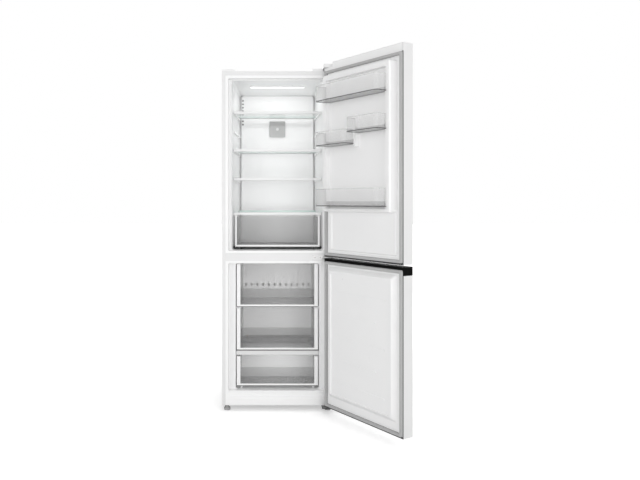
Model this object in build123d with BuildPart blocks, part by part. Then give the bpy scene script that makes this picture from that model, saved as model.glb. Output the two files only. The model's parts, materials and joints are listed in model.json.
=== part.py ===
from build123d import *
import os

# Bottom freezer refrigerator, in millimetres, with both doors open.
#
# X runs to the right seen from the front, Y runs to the rear and Z runs up. The origin is on the
# floor, in the plane of the cabinet's front flange, midway between its sides. The doors are drawn
# closed and then turned about the hinge line by door_angle.

os.makedirs("parts", exist_ok=True)

# ---------------------------------------------------------------- driving dimensions

# Cabinet shell
cabinet_width = 595.0
cabinet_depth = 525.0
cabinet_top = 1819.0
cabinet_bottom = 29.0
sheet = 1.0
flange_width = 19.5
flange_height = 23.0
screw_clearance = 0.1
seat_gap = 0.3
half_width = cabinet_width / 2
inside_half = half_width - sheet

# Compressor bay behind the bottom drawer, and the recess for the condenser behind the foam
bay_front = cabinet_depth - 220.0
bay_top = 250.0
foam_rear = cabinet_depth - 6.0

# Liners: a wide mouth that takes the door's raised ring, then a shoulder, then a tapered room
liner_wall = 2.0
mouth_half = half_width - 33.5
mouth_depth = 38.0
mouth_corner = 8.0
room_corner = 12.0
liner_flange = 24.0
liner_lap = 18.0
room_rear = cabinet_depth - 55.0

freezer_floor = 108.0
freezer_mouth_top = 790.0
freezer_room_top = freezer_mouth_top - 4.0
freezer_half_front = mouth_half - 38.0
freezer_half_rear = freezer_half_front - 14.0
freezer_step_top = bay_top + 60.0
freezer_step_front = bay_front - 57.0

fridge_floor = freezer_mouth_top + 67.0
fridge_mouth_top = cabinet_top - 37.0
fridge_height = fridge_mouth_top - fridge_floor
fridge_room_top = fridge_mouth_top - 6.0
fridge_rear_top = fridge_room_top - 20.0
fridge_half_front = mouth_half - 17.0
fridge_half_rear = fridge_half_front - 23.0

cover_strip_edge = 12.0

# Inside wall panels and the air duct between the rooms
duct_panel_wall = 3.0
fridge_panel_front = room_rear - 20.0
freezer_panel_front = room_rear - 52.0
freezer_panel_depth = 10.0
duct_half = 60.0
duct_front = room_rear - 15.0
duct_rear = room_rear - 2.0
slot_count = 12
slot_pitch = 34.0

# Shelves: heights of the top faces over the fridge floor, as shares of the fridge room's height
crisper_shelf_height = 201.0
shelf_levels = {
    "top_shelf": fridge_floor + 0.8205 * fridge_height,
    "upper_shelf": fridge_floor + 0.5955 * fridge_height,
    "lower_shelf": fridge_floor + 0.4238 * fridge_height,
    "crisper_shelf": fridge_floor + crisper_shelf_height,
}
spare_rail_level = fridge_floor + 0.71 * fridge_height
shelf_front = 104.0
shelf_rear = fridge_panel_front - 50.0
shelf_side_gap = 2.0
pane = 4.0
trim_depth = 18.0
trim_drop = 12.0
trim_rise = 2.0
rear_trim_depth = 12.0
rear_trim_rise = 10.0
freezer_trim_drop = 27.0
freezer_shelf_rear = freezer_step_front + 52.0
rail_height = 10.0
rail_reach = 9.0

# Doors
door_angle = 123.0
door_thickness = 62.0
door_stand_off = 12.0
hinge_inset = 16.0
hinge_forward = 40.0
hinge_pin_radius = 5.0
running_gap = 0.06
pin_grip = 15.0
door_corner = 6.0
door_return = 10.0
cap_plate = 4.0
cap_plug = 6.0
cap_boss = 16.0
cap_boss_width = 35.0
door_gap = 9.0
freezer_door_range = (cabinet_bottom + 7.0, freezer_mouth_top + 30.0)
fridge_door_range = (freezer_door_range[1] + door_gap, cabinet_top + 29.0)
hinge_notch_width = 70.0
hinge_notch_depth = 24.0
handle_height = 40.0
handle_top_plate = 15.0
handle_depth = 40.0
grip_depth = 34.0
grip_height = 20.0
grip_lip = 6.0
grip_wall = 7.0
grip_floor = 5.0
grip_end = 10.0

# The gaskets run along the doors' edges. Only beside the hinges are they set in further, because the
# bulb passes close by the cabinet's front there as a door turns.
gasket_hinge_inset = 12.0
gasket_edge_inset = 2.0
gasket_width = 16.0
gasket_height = 11.3
gasket_foot = 4.0
gasket_lip = 2.0
fridge_gasket_range = (fridge_door_range[0] + 7.0, cabinet_top - 12.0)
freezer_gasket_range = (freezer_door_range[0] + 7.0, freezer_door_range[1] - 14.0)

# The door liners' raised rings, and the sunk fields inside them. A ring has a height, a draft all
# round, a rounding and half the width of its field. The one behind the balconies is high, and the
# other two are low, so that the gasket shows beside them on the open doors.
ring_half = mouth_half - 5.5
ring_height = 45.0
ring_corner = 14.0
high_ring = (ring_height, 3.0, 8.0, ring_half - 31.0)
low_ring = (7.0, 3.0, 4.0, ring_half - 31.0)
freezer_ring = (20.0, 22.0, 8.0, ring_half - 36.0)
fridge_low_ring_bottom = fridge_floor + 11.0
fridge_high_ring_top = fridge_mouth_top - 7.0
freezer_ring_range = (freezer_floor - 9.0, freezer_mouth_top - 7.0)
field_corner = 3.0
freezer_field_range = (freezer_ring_range[0] + 27.0, freezer_ring_range[1] - 35.0)
freezer_field_floor = 15.0
rib_count = 5
rib_long = 375.0
rib_short = 255.0
rib_height = 12.0
rib_rise = 2.5

# Door balconies in the closed position: floor heights over the fridge floor, as shares again
balcony_levels = {
    "balcony_top": fridge_floor + 0.8357 * fridge_height,
    "balcony_left": fridge_floor + 0.5903 * fridge_height,
    "balcony_right": fridge_floor + 0.6465 * fridge_height,
    "balcony_bottle": fridge_floor + 0.2584 * fridge_height,
}
balcony_heights = {
    "balcony_top": 82.0,
    "balcony_left": 71.0,
    "balcony_right": 71.0,
    "balcony_bottle": 88.0,
}
balcony_wall = 2.5
balcony_front = shelf_front - 6.0
balcony_shoulder = ring_height - door_stand_off + 1.5
balcony_back = 10.0
balcony_back_height = 25.0
balcony_hinge_end = ring_half - 21.0
balcony_free_end = 24.0 - ring_half
balcony_back_half = ring_half - 35.5
balcony_corner = 20.0
balcony_middle = -3.5
balcony_middle_gap = 8.0
lug_width = 8.0
lug_height = 8.0
lug_bite = 0.1
lug_depth = 22.0
balcony_recess_range = (balcony_levels["balcony_bottle"] - 11.0, fridge_high_ring_top - 30.0)
balcony_recess_floor = 20.0
high_ring_range = (balcony_recess_range[0] - 19.0, fridge_high_ring_top)
low_ring_range = (fridge_low_ring_bottom, high_ring_range[0] + 9.0)
lower_panel_range = (low_ring_range[0] + 7.0, high_ring_range[0] - 12.0)
lower_panel_floor = 4.0

# Drawers
plastic = 3.0
crisper_bottom = fridge_floor + 15.0
crisper_top = shelf_levels["crisper_shelf"] - 14.0
crisper_half_front = ring_half - 25.5
crisper_half_rear = fridge_half_rear
crisper_front = shelf_front + 4.0
crisper_rear = shelf_rear - 10.0
crisper_bar = 10.0
crisper_runner = (crisper_half_rear - 19.0, crisper_half_rear - 9.0)
drawer_front = mouth_depth + 10.0
drawer_rear = freezer_panel_front - 8.0
drawer_half_face = freezer_half_front - 6.5
drawer_half_front = freezer_half_front - 12.0
drawer_half_rear = freezer_half_rear - 4.0
drawer_bar = 19.0
drawer_sill = 12.0
drawer_back_height = 53.0
drawer_side_drop = 10.0
drawer_rail_inner = freezer_half_rear - 12.0
drawer_runner = (drawer_rail_inner - 10.0, drawer_rail_inner)
top_drawer_range = (freezer_mouth_top - 240.5, freezer_mouth_top - 7.0)
middle_drawer_range = (freezer_step_top + 5.0, top_drawer_range[0] - 8.0)
bottom_drawer_range = (freezer_floor + 13.0, middle_drawer_range[0] - 34.0)
bottom_drawer_rear = freezer_step_front - 8.0

# Base
foot_x = half_width - 27.5
foot_y = 20.0
foot_radius = 17.0
foot_height = 16.0
foot_collar_radius = 12.0
foot_collar_height = 6.0
foot_stud_radius = 5.0
foot_stud_top = 62.0
foot_nut_radius = 9.0
foot_nut_height = 14.0
deck_bottom = 46.0
deck_sheet = 2.0
deck_front = bay_front + 3.0
deck_rear = cabinet_depth - 3.0
deck_lip = 16.0
roller_x = half_width - 40.5
roller_y = cabinet_depth - 45.0
roller_radius = 14.0
roller_width = 22.0
axle_radius = 3.0
cheek_gap = 1.0
cheek_sheet = 2.0
cheek_length = 30.0

# Cooling machinery
compressor_x = 120.0
compressor_y = cabinet_depth - 105.0
compressor_top = bay_top - 38.0
compressor_half_width = 92.0
compressor_half_depth = 70.0
grommet_radius = 11.0
grommet_height = 12.0
pan_height = 26.0
evaporator_half = freezer_half_rear - 42.0
evaporator_range = (freezer_step_top + 35.0, freezer_step_top + 250.0)
coil_y = freezer_panel_front + 21.0
coil_radius = 4.0
coil_inset = 20.0
coil_count = 6
coil_overhang = 12.0
fin_count = 20
fin_half_depth = 13.0
drain_x = 60.0
drain_radius = 8.0
suction_x = -evaporator_half - coil_overhang
tube_radius = 3.0
condenser_radius = 2.4
run_count = 10
run_half = half_width - 62.5
run_bottom = 380.0
run_pitch = (cabinet_top - run_bottom - 139.0) / run_count
fan_z = freezer_room_top - 96.0
fan_y = freezer_panel_front + 13.0
fan_radius = 48.0
fan_hub_radius = 12.0
fan_hub_half = 5.0
fan_shaft_radius = 2.0
motor_radius = 20.0
control_width = 70.0
control_height = 130.0
inlet_depth = 14.0

# Top covers and hinges
hinge_plate = 3.0
cover_wall = 2.0
cover_left = half_width - 110.5
cover_depth = 95.0
cover_height = 13.0
cover_arm_left = half_width - 54.5
cover_arm_front = -66.0
cover_arm_height = 26.0
cover_arm_rear = 40.0
corner_cover_width = 73.0
corner_cover_depth = 60.0
corner_cover_height = 9.0
screw_radius = 3.0
screw_head_radius = 6.0
screw_head_height = 3.5
screw_length = 14.0

# ---------------------------------------------------------------- worked out from them

hinge_x = half_width - hinge_inset
hinge_y = -hinge_forward
hinge_line = Axis((hinge_x, hinge_y, 0), (0, 0, 1))
door_inner = -door_stand_off
door_outer = door_inner - door_thickness
bore_radius = hinge_pin_radius + running_gap


def front_plane(y):
    """Sketch plane facing the viewer at depth y: sketch x is X, sketch y is Z."""
    return Plane(origin=(0, y, 0), x_dir=(1, 0, 0), z_dir=(0, -1, 0))


def side_plane(x):
    """Sketch plane facing right at x: sketch x is Y, sketch y is Z."""
    return Plane(origin=(x, 0, 0), x_dir=(0, 1, 0), z_dir=(1, 0, 0))


def block(x_range, y_range, z_range, mode=Mode.ADD):
    """Box between two X, two Y and two Z values."""
    with Locations((x_range[0], y_range[0], z_range[0])):
        Box(
            x_range[1] - x_range[0],
            y_range[1] - y_range[0],
            z_range[1] - z_range[0],
            align=(Align.MIN, Align.MIN, Align.MIN),
            mode=mode,
        )


def upright(x, y, radius, z_range, mode=Mode.ADD):
    """Vertical cylinder between two heights."""
    with Locations((x, y, z_range[0])):
        align = (Align.CENTER, Align.CENTER, Align.MIN)
        Cylinder(radius, z_range[1] - z_range[0], align=align, mode=mode)


def frontal(x, z, radius, y_range, mode=Mode.ADD):
    """Cylinder along Y between two depths."""
    with Locations(Location((x, y_range[0], z), (-90, 0, 0))):
        align = (Align.CENTER, Align.CENTER, Align.MIN)
        Cylinder(radius, y_range[1] - y_range[0], align=align, mode=mode)


def crosswise(x_range, y, z, radius, mode=Mode.ADD):
    """Cylinder along X between two X values."""
    with Locations(Location((x_range[0], y, z), (0, 90, 0))):
        align = (Align.CENTER, Align.CENTER, Align.MIN)
        Cylinder(radius, x_range[1] - x_range[0], align=align, mode=mode)


def wall_rectangle(y, half, z_range, corner=0.0):
    """Face in the plane y, centred on X, for the lofts of the liners."""
    with BuildSketch(front_plane(y)) as section:
        with Locations((0, (z_range[0] + z_range[1]) / 2)):
            if corner > 0:
                RectangleRounded(2 * half, z_range[1] - z_range[0], corner)
            else:
                Rectangle(2 * half, z_range[1] - z_range[0])
    return section.sketch


def swing_open(piece):
    """Turn a piece that is drawn with its door closed to the open angle."""
    piece.part = piece.part.rotate(hinge_line, door_angle)


def room_half(y, half_front, half_rear):
    """Half the width of a tapered room at depth y."""
    share = (y - mouth_depth) / (room_rear - mouth_depth)
    return half_front + (half_rear - half_front) * share


def fridge_half(y):
    return room_half(y, fridge_half_front, fridge_half_rear)


def freezer_half(y):
    return room_half(y, freezer_half_front, freezer_half_rear)


def fridge_ceiling(y):
    share = (y - mouth_depth) / (room_rear - mouth_depth)
    return fridge_room_top + (fridge_rear_top - fridge_room_top) * share


# ---------------------------------------------------------------- shell of the cabinet

# Two sides and the top in one sheet, with the front edge turned in as a flange
with BuildPart() as outer_wrapper:
    block((-half_width, half_width), (0, cabinet_depth), (cabinet_bottom, cabinet_top))
    block(
        (-inside_half, inside_half),
        (sheet, cabinet_depth + sheet),
        (cabinet_bottom - sheet, cabinet_top - sheet),
        Mode.SUBTRACT,
    )
    block(
        (-half_width + flange_width, half_width - flange_width),
        (-sheet, 2 * sheet),
        (cabinet_bottom - sheet, cabinet_top - flange_height),
        Mode.SUBTRACT,
    )

with BuildPart() as rear_panel:
    block(
        (-half_width, half_width), (cabinet_depth, cabinet_depth + sheet), (bay_top - sheet, cabinet_top)
    )

# Steel floor under the foam, stepped up over the compressor bay, with the nuts of the front feet
with BuildPart() as base_pan:
    block((-inside_half, inside_half), (sheet, bay_front), (cabinet_bottom, cabinet_bottom + sheet))
    block((-inside_half, inside_half), (bay_front - sheet, bay_front), (cabinet_bottom, bay_top))
    block((-inside_half, inside_half), (bay_front - sheet, foam_rear), (bay_top - sheet, bay_top))
    for x in (-foot_x, foot_x):
        nut_top = cabinet_bottom + sheet + foot_nut_height
        upright(x, foot_y, foot_nut_radius, (cabinet_bottom, nut_top))
        thread = (cabinet_bottom - 1, nut_top + 1)
        upright(x, foot_y, foot_stud_radius + running_gap, thread, Mode.SUBTRACT)
    upright(drain_x, coil_y, drain_radius + seat_gap, (bay_top - 10, bay_top + 10), Mode.SUBTRACT)
    upright(suction_x, coil_y, tube_radius + seat_gap, (bay_top - 10, bay_top + 10), Mode.SUBTRACT)

# White strip under the freezer opening, flush between the flanges
with BuildPart() as lower_front_panel:
    block(
        (-half_width + flange_width + seat_gap, half_width - flange_width - seat_gap),
        (0, sheet),
        (cabinet_bottom, freezer_floor - cover_strip_edge),
    )

# White strip between the two mouths
with BuildPart() as mullion_cover:
    block(
        (-half_width + flange_width + seat_gap, half_width - flange_width - seat_gap),
        (0, sheet),
        (freezer_mouth_top + cover_strip_edge, fridge_floor - cover_strip_edge),
    )

# ---------------------------------------------------------------- liners and foam


def liner_blank(half_front, half_rear, floor, mouth_top, room_top, rear_top):
    """Outside of a liner: flange plate, mouth and tapered room, as one closed solid."""
    grow = liner_wall
    with BuildPart() as blank:
        block(
            (-mouth_half - liner_flange, mouth_half + liner_flange),
            (sheet, sheet + liner_wall),
            (floor - liner_lap, mouth_top + liner_lap),
        )
        block(
            (-mouth_half - grow, mouth_half + grow),
            (sheet, mouth_depth + grow),
            (floor - grow, mouth_top + grow),
        )
        front = wall_rectangle(mouth_depth, half_front + grow, (floor - grow, room_top + grow))
        rear = wall_rectangle(room_rear + grow, half_rear + grow, (floor - grow, rear_top + grow))
        loft(sections=[front, rear])
    return blank


def liner_hollow(half_front, half_rear, floor, mouth_top, room_top, rear_top):
    """Air inside a liner: mouth and tapered room with rounded long edges."""
    with BuildPart() as hollow:
        front = wall_rectangle(mouth_depth, half_front, (floor, room_top))
        rear = wall_rectangle(room_rear, half_rear, (floor, rear_top))
        loft(sections=[front, rear])
        long_edges = hollow.edges().filter_by(lambda edge: abs(edge.tangent_at(0.5).Y) > 0.9)
        fillet(long_edges, room_corner)
        mouth = wall_rectangle(-1, mouth_half, (floor, mouth_top), mouth_corner)
        extrude(mouth, amount=-(mouth_depth + 1))
    return hollow


def wall_rail(level, y_front, y_rear, half_at, inner_half=None):
    """Pair of rails on the side walls, whose top face is at level."""
    for side in (-1, 1):
        with BuildSketch(Plane.XY.offset(level - rail_height)) as plan:
            with BuildLine():
                reach_front = inner_half if inner_half else half_at(y_front) - rail_reach
                reach_rear = inner_half if inner_half else half_at(y_rear) - rail_reach
                Polyline(
                    (side * (half_at(y_front) + 1), y_front),
                    (side * reach_front, y_front),
                    (side * reach_rear, y_rear),
                    (side * (half_at(y_rear) + 1), y_rear),
                    close=True,
                )
            make_face()
        extrude(plan.sketch, amount=rail_height)


fridge_sizes = (fridge_half_front, fridge_half_rear, fridge_floor, fridge_mouth_top)
fridge_sizes += (fridge_room_top, fridge_rear_top)
freezer_sizes = (freezer_half_front, freezer_half_rear, freezer_floor, freezer_mouth_top)
freezer_sizes += (freezer_room_top, freezer_room_top)
fridge_blank = liner_blank(*fridge_sizes)
freezer_blank = liner_blank(*freezer_sizes)

# The freezer's floor steps up over the compressor bay
step_x = freezer_half_front + 2 * liner_wall
with BuildPart() as bay_step:
    block(
        (-step_x, step_x),
        (freezer_step_front + liner_wall, room_rear + 10),
        (freezer_floor - 10, freezer_step_top - liner_wall),
    )

with BuildPart() as fridge_liner:
    add(fridge_blank.part)
    add(liner_hollow(*fridge_sizes).part, mode=Mode.SUBTRACT)
    for level in (*shelf_levels.values(), spare_rail_level):
        rail_top = level - pane - seat_gap
        wall_rail(rail_top, shelf_front + trim_depth + 2, shelf_rear, fridge_half)
    for side in (-1, 1):
        rail_x = sorted(side * x for x in crisper_runner)
        block(rail_x, (crisper_front, crisper_rear + 20), (fridge_floor, crisper_bottom - seat_gap))
    duct_hole = (fridge_floor - 5, fridge_floor + 5)
    block((-duct_half, duct_half), (duct_front, duct_rear), duct_hole, Mode.SUBTRACT)

with BuildPart() as freezer_hollow:
    add(liner_hollow(*freezer_sizes).part)
    block(
        (-step_x, step_x),
        (freezer_step_front, room_rear + 10),
        (freezer_floor - 10, freezer_step_top),
        Mode.SUBTRACT,
    )

with BuildPart() as freezer_body:
    add(freezer_blank.part)
    add(bay_step.part, mode=Mode.SUBTRACT)

with BuildPart() as freezer_liner:
    add(freezer_body.part)
    add(freezer_hollow.part, mode=Mode.SUBTRACT)
    top_rail = top_drawer_range[0] - seat_gap
    wall_rail(top_rail, drawer_front + 10, drawer_rear, freezer_half, drawer_rail_inner)
    shelf_rail = middle_drawer_range[0] - pane - 2 * seat_gap
    wall_rail(shelf_rail, drawer_front + trim_depth + 2, freezer_step_front - 4, freezer_half)
    for side in (-1, 1):
        rib_x = sorted(side * x for x in drawer_runner)
        rib_z = (freezer_floor, bottom_drawer_range[0] - seat_gap)
        block(rib_x, (drawer_front + 12, bottom_drawer_rear), rib_z)
    block(
        (-duct_half, duct_half),
        (duct_front, duct_rear),
        (freezer_room_top - 5, freezer_room_top + 5),
        Mode.SUBTRACT,
    )
    step_hole = (freezer_step_top - 5, freezer_step_top + 5)
    upright(drain_x, coil_y, drain_radius + seat_gap, step_hole, Mode.SUBTRACT)
    upright(suction_x, coil_y, tube_radius + seat_gap, step_hole, Mode.SUBTRACT)

with BuildPart() as cabinet_foam:
    block((-inside_half, inside_half), (sheet, foam_rear), (cabinet_bottom + sheet, cabinet_top - sheet))
    block(
        (-inside_half, inside_half),
        (bay_front - sheet, foam_rear),
        (cabinet_bottom, bay_top),
        Mode.SUBTRACT,
    )
    add(fridge_blank.part, mode=Mode.SUBTRACT)
    add(freezer_body.part, mode=Mode.SUBTRACT)
    block(
        (-duct_half, duct_half),
        (duct_front, duct_rear),
        (freezer_room_top - 5, fridge_floor + 5),
        Mode.SUBTRACT,
    )
    for x in (-foot_x, foot_x):
        pocket = (cabinet_bottom, foot_stud_top + 4)
        upright(x, foot_y, foot_nut_radius + seat_gap, pocket, Mode.SUBTRACT)
    foam_hole = (bay_top - 5, freezer_step_top + 5)
    upright(drain_x, coil_y, drain_radius + seat_gap, foam_hole, Mode.SUBTRACT)
    upright(suction_x, coil_y, tube_radius + seat_gap, foam_hole, Mode.SUBTRACT)

# ---------------------------------------------------------------- inside walls and the lamp


def panel_face(y, half, z_range):
    """Face of a wall panel whose two upper corners clear the liner's rounded edges."""
    with BuildSketch(front_plane(y)) as face:
        with Locations((0, (z_range[0] + z_range[1]) / 2)):
            Rectangle(2 * half, z_range[1] - z_range[0])
        fillet(face.vertices().group_by(Axis.Y)[-1], room_corner + 2)
    return face.sketch


outlet_level = fridge_floor + 0.7546 * fridge_height
panel_half = fridge_half_rear - 8.0
panel_top = fridge_rear_top - seat_gap
with BuildPart() as fridge_duct_panel:
    face = panel_face(fridge_panel_front, panel_half, (fridge_floor + 20, panel_top))
    extrude(face, amount=fridge_panel_front - room_rear)
    inner_half = panel_half - duct_panel_wall
    cavity = panel_face(
        fridge_panel_front + duct_panel_wall, inner_half, (fridge_floor + 19, panel_top - duct_panel_wall)
    )
    extrude(cavity, amount=fridge_panel_front - room_rear, mode=Mode.SUBTRACT)
    opening = (fridge_panel_front - 1, fridge_panel_front + duct_panel_wall + 1)
    frontal(0, outlet_level, 36.0, opening, Mode.SUBTRACT)

outlet_half = 47.5
outlet_gap = 7.0
with BuildPart() as air_outlet_cover:
    with BuildSketch(front_plane(fridge_panel_front - outlet_gap)):
        with Locations((0, outlet_level)):
            RectangleRounded(2 * outlet_half, 2 * outlet_half, 4.0)
    extrude(amount=3.0)
    cover_front = fridge_panel_front - outlet_gap - 3.0
    frontal(0, outlet_level, 7.0, (cover_front - 6.0, cover_front))
    fillet(air_outlet_cover.edges().group_by(Axis.Y)[0], 3.0)
    for x in (-40.0, 40.0):
        for z in (outlet_level - 40.0, outlet_level + 40.0):
            frontal(x, z, 4.0, (fridge_panel_front - outlet_gap, fridge_panel_front))

lamp_half = fridge_half_front - 96.0
lamp_front = shelf_front + 79.0
lamp_rear = lamp_front + 24.0
lamp_drop = 5.0
with BuildPart() as led_lamp_lens:
    with BuildSketch(side_plane(-lamp_half)):
        with BuildLine():
            Polyline(
                (lamp_front, fridge_ceiling(lamp_front)),
                (lamp_rear, fridge_ceiling(lamp_rear)),
                (lamp_rear - 3, fridge_ceiling(lamp_rear) - lamp_drop),
                (lamp_front + 3, fridge_ceiling(lamp_front) - lamp_drop),
                close=True,
            )
        make_face()
    extrude(amount=2 * lamp_half)

freezer_panel_half = freezer_half(freezer_panel_front) - 2.0
freezer_panel_range = (freezer_step_top + seat_gap, freezer_room_top - 1)
with BuildPart() as freezer_duct_panel:
    face = panel_face(freezer_panel_front, freezer_panel_half, freezer_panel_range)
    extrude(face, amount=-freezer_panel_depth)
    cavity = panel_face(
        freezer_panel_front + duct_panel_wall,
        freezer_panel_half - duct_panel_wall,
        (freezer_panel_range[0] - 1, freezer_panel_range[1] - duct_panel_wall),
    )
    extrude(cavity, amount=-freezer_panel_depth, mode=Mode.SUBTRACT)
    block(
        (-freezer_panel_half + 12, freezer_panel_half - 12),
        (freezer_panel_front - 1, freezer_panel_front + freezer_panel_depth + 1),
        (freezer_panel_range[0] - 1, freezer_step_top + 12),
        Mode.SUBTRACT,
    )
    with BuildSketch(front_plane(freezer_panel_front - 1)) as slots:
        with Locations((0, top_drawer_range[0] + 75.5)):
            with GridLocations(slot_pitch, 1, slot_count, 1):
                SlotOverall(16, 9, rotation=90)
    extrude(slots.sketch, amount=-6.0, mode=Mode.SUBTRACT)

# ---------------------------------------------------------------- shelves


def strip_plan(z, y_front, y_rear, half_at, gap):
    """Plan of a strip between two depths that follows the tapered side walls."""
    with BuildSketch(Plane.XY.offset(z)) as plan:
        with BuildLine():
            Polyline(
                (-half_at(y_front) + gap, y_front),
                (half_at(y_front) - gap, y_front),
                (half_at(y_rear) - gap, y_rear),
                (-half_at(y_rear) + gap, y_rear),
                close=True,
            )
        make_face()
    return plan.sketch


def glass_shelf(level, y_front, y_rear, half_at, drop, front_rise, rear_rise):
    """Glass pane with a front and a rear edge strip moulded on, as three solids."""
    with BuildPart() as glass:
        extrude(strip_plan(level - pane, y_front + 4, y_rear - 4, half_at, shelf_side_gap + 0.5), amount=pane)
    with BuildPart() as strips:
        front = strip_plan(level - drop, y_front, y_front + trim_depth, half_at, shelf_side_gap)
        extrude(front, amount=drop + front_rise)
        front_edges = strips.edges().filter_by(Axis.X).group_by(Axis.Y)[0]
        fillet(front_edges, 3.0)
        rear = strip_plan(level - pane, y_rear - rear_trim_depth, y_rear, half_at, shelf_side_gap)
        extrude(rear, amount=pane + rear_rise)
        add(glass.part, mode=Mode.SUBTRACT)
    return Compound(children=[*glass.part.solids(), *strips.part.solids()])


shelves = {}
for name, level in shelf_levels.items():
    shelves[name] = glass_shelf(
        level, shelf_front, shelf_rear, fridge_half, trim_drop, trim_rise, rear_trim_rise
    )

freezer_shelf_top = middle_drawer_range[0] - seat_gap
freezer_shelf = glass_shelf(
    freezer_shelf_top, drawer_front, freezer_shelf_rear, freezer_half, freezer_trim_drop, 0.0, 0.0
)

# ---------------------------------------------------------------- drawers


def tray_plan(z, y_front, y_rear, half_front, half_rear, inset=0.0):
    """Plan of a drawer's tub, drawn in by inset all round."""
    with BuildSketch(Plane.XY.offset(z)) as plan:
        with BuildLine():
            Polyline(
                (-half_front + inset, y_front + inset),
                (half_front - inset, y_front + inset),
                (half_rear - inset, y_rear - inset),
                (-half_rear + inset, y_rear - inset),
                close=True,
            )
        make_face()
        fillet(plan.vertices(), 6.0)
    return plan.sketch


def drawer(z_range, y_front, y_rear, half_face, half_front, half_rear, bar, sill, back_height):
    """Open tub with a taller front plate, which has raised bars at its sides and bottom."""
    bottom, top = z_range
    side_top = top - drawer_side_drop
    with BuildPart() as tub:
        extrude(tray_plan(bottom, y_front + 1, y_rear, half_front, half_rear), amount=side_top - bottom)
        cavity = tray_plan(bottom + plastic, y_front + 1, y_rear, half_front, half_rear, plastic)
        extrude(cavity, amount=top - bottom, mode=Mode.SUBTRACT)
        cut_half = half_rear + 10
        back = (y_rear - plastic - 1, y_rear + 1)
        block((-cut_half, cut_half), back, (bottom + back_height, top), Mode.SUBTRACT)
        block((-half_face, half_face), (y_front, y_front + 4), (bottom, top))
        for side in (-1, 1):
            bar_x = sorted((side * half_face, side * (half_face - bar)))
            block(bar_x, (y_front - 4, y_front), (bottom, top))
        block((-half_face, half_face), (y_front - 4, y_front), (bottom, bottom + sill))
    return tub


crisper_drawer = drawer(
    (crisper_bottom, crisper_top),
    crisper_front,
    crisper_rear,
    crisper_half_front,
    crisper_half_front - 3,
    crisper_half_rear,
    crisper_bar,
    crisper_bar,
    crisper_top - crisper_bottom - drawer_side_drop,
)
freezer_drawers = {}
for name, z_range, y_rear, back_height in (
    ("freezer_drawer_top", top_drawer_range, drawer_rear, drawer_back_height),
    ("freezer_drawer_middle", middle_drawer_range, drawer_rear, drawer_back_height),
    ("freezer_drawer_bottom", bottom_drawer_range, bottom_drawer_rear, drawer_back_height),
):
    freezer_drawers[name] = drawer(
        z_range,
        drawer_front,
        y_rear,
        drawer_half_face,
        drawer_half_front,
        drawer_half_rear,
        drawer_bar,
        drawer_sill,
        back_height,
    )

# ---------------------------------------------------------------- doors


def door_outline(z, inset):
    """Plan of a closed door, drawn in by inset, with its two outer upright edges rounded."""
    with BuildSketch(Plane.XY.offset(z)) as plan:
        with Locations((0, (door_outer + door_inner) / 2)):
            Rectangle(cabinet_width - 2 * inset, door_thickness - 2 * inset)
        fillet(plan.vertices().group_by(Axis.Y)[0], door_corner - inset)
    return plan.sketch


return_x = half_width - door_return


def door_skin(z_range):
    """Steel front and sides, turned in at the back."""
    with BuildPart() as skin:
        extrude(door_outline(z_range[0], 0), amount=z_range[1] - z_range[0])
        extrude(door_outline(z_range[0], sheet), amount=z_range[1] - z_range[0], mode=Mode.SUBTRACT)
        block((-return_x, return_x), (door_inner - 2 * sheet, door_inner + 1), z_range, Mode.SUBTRACT)
    return skin


def ring_solid(z_range, form, shrink):
    """The liner's raised block, or the foam inside it when shrink is the liner's wall."""
    height, draft, rounding, _ = form
    foot = (z_range[0] + shrink, z_range[1] - shrink)
    crown = (z_range[0] + shrink + draft, z_range[1] - shrink - draft)
    with BuildPart() as ring:
        low = wall_rectangle(door_inner - liner_wall, ring_half - shrink, foot, ring_corner)
        high = wall_rectangle(
            door_inner + height - shrink, ring_half - shrink - draft, crown, ring_corner - 2
        )
        loft(sections=[low, high])
        fillet(ring.faces().sort_by(Axis.Y)[-1].edges(), rounding - shrink)
    return ring


def recess(z_range, floor_height, form, grow):
    """Air in front of a recessed field of the liner, or that air grown by the wall."""
    height, _, _, field_half = form
    half = field_half + grow
    z_grown = (z_range[0] - grow, z_range[1] + grow)
    corner = field_corner + grow
    with BuildPart() as field:
        low = wall_rectangle(door_inner + floor_height - grow, half - 2, z_grown, corner)
        high = wall_rectangle(door_inner + height + 1, half, z_grown, corner)
        loft(sections=[low, high])
    return field


def door_liner(z_range, rings):
    """Flat border with raised rings, each with one recessed field, all one wall thick."""
    with BuildPart() as foam_room:
        for ring_range, form, _, _ in rings:
            add(ring_solid(ring_range, form, liner_wall).part)
        for _, form, field_range, floor_height in rings:
            add(recess(field_range, floor_height, form, liner_wall).part, mode=Mode.SUBTRACT)
    with BuildPart() as liner:
        block((-return_x, return_x), (door_inner - liner_wall, door_inner), z_range)
        for ring_range, form, _, _ in rings:
            add(ring_solid(ring_range, form, 0).part)
        add(foam_room.part, mode=Mode.SUBTRACT)
        for _, form, field_range, floor_height in rings:
            add(recess(field_range, floor_height, form, 0).part, mode=Mode.SUBTRACT)
    return liner, foam_room


def gasket(z_range):
    """Ring with a broad foot and a narrower magnetic bulb."""
    x_range = (gasket_edge_inset - half_width, half_width - gasket_hinge_inset)
    middle = ((x_range[0] + x_range[1]) / 2, (z_range[0] + z_range[1]) / 2)
    width = x_range[1] - x_range[0]
    height = z_range[1] - z_range[0]
    steps = (
        (0.0, gasket_height, gasket_lip),
        (0.0, gasket_foot, 0.0),
    )
    with BuildPart() as ring:
        for start, stop, inset in steps:
            with BuildSketch(front_plane(door_inner + start)) as face:
                with Locations(middle):
                    RectangleRounded(width - 2 * inset, height - 2 * inset, 6.0)
                    shrink = 2 * (gasket_width - inset)
                    RectangleRounded(width - shrink, height - shrink, 4.0, mode=Mode.SUBTRACT)
            extrude(face.sketch, amount=start - stop)
    return ring


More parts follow.
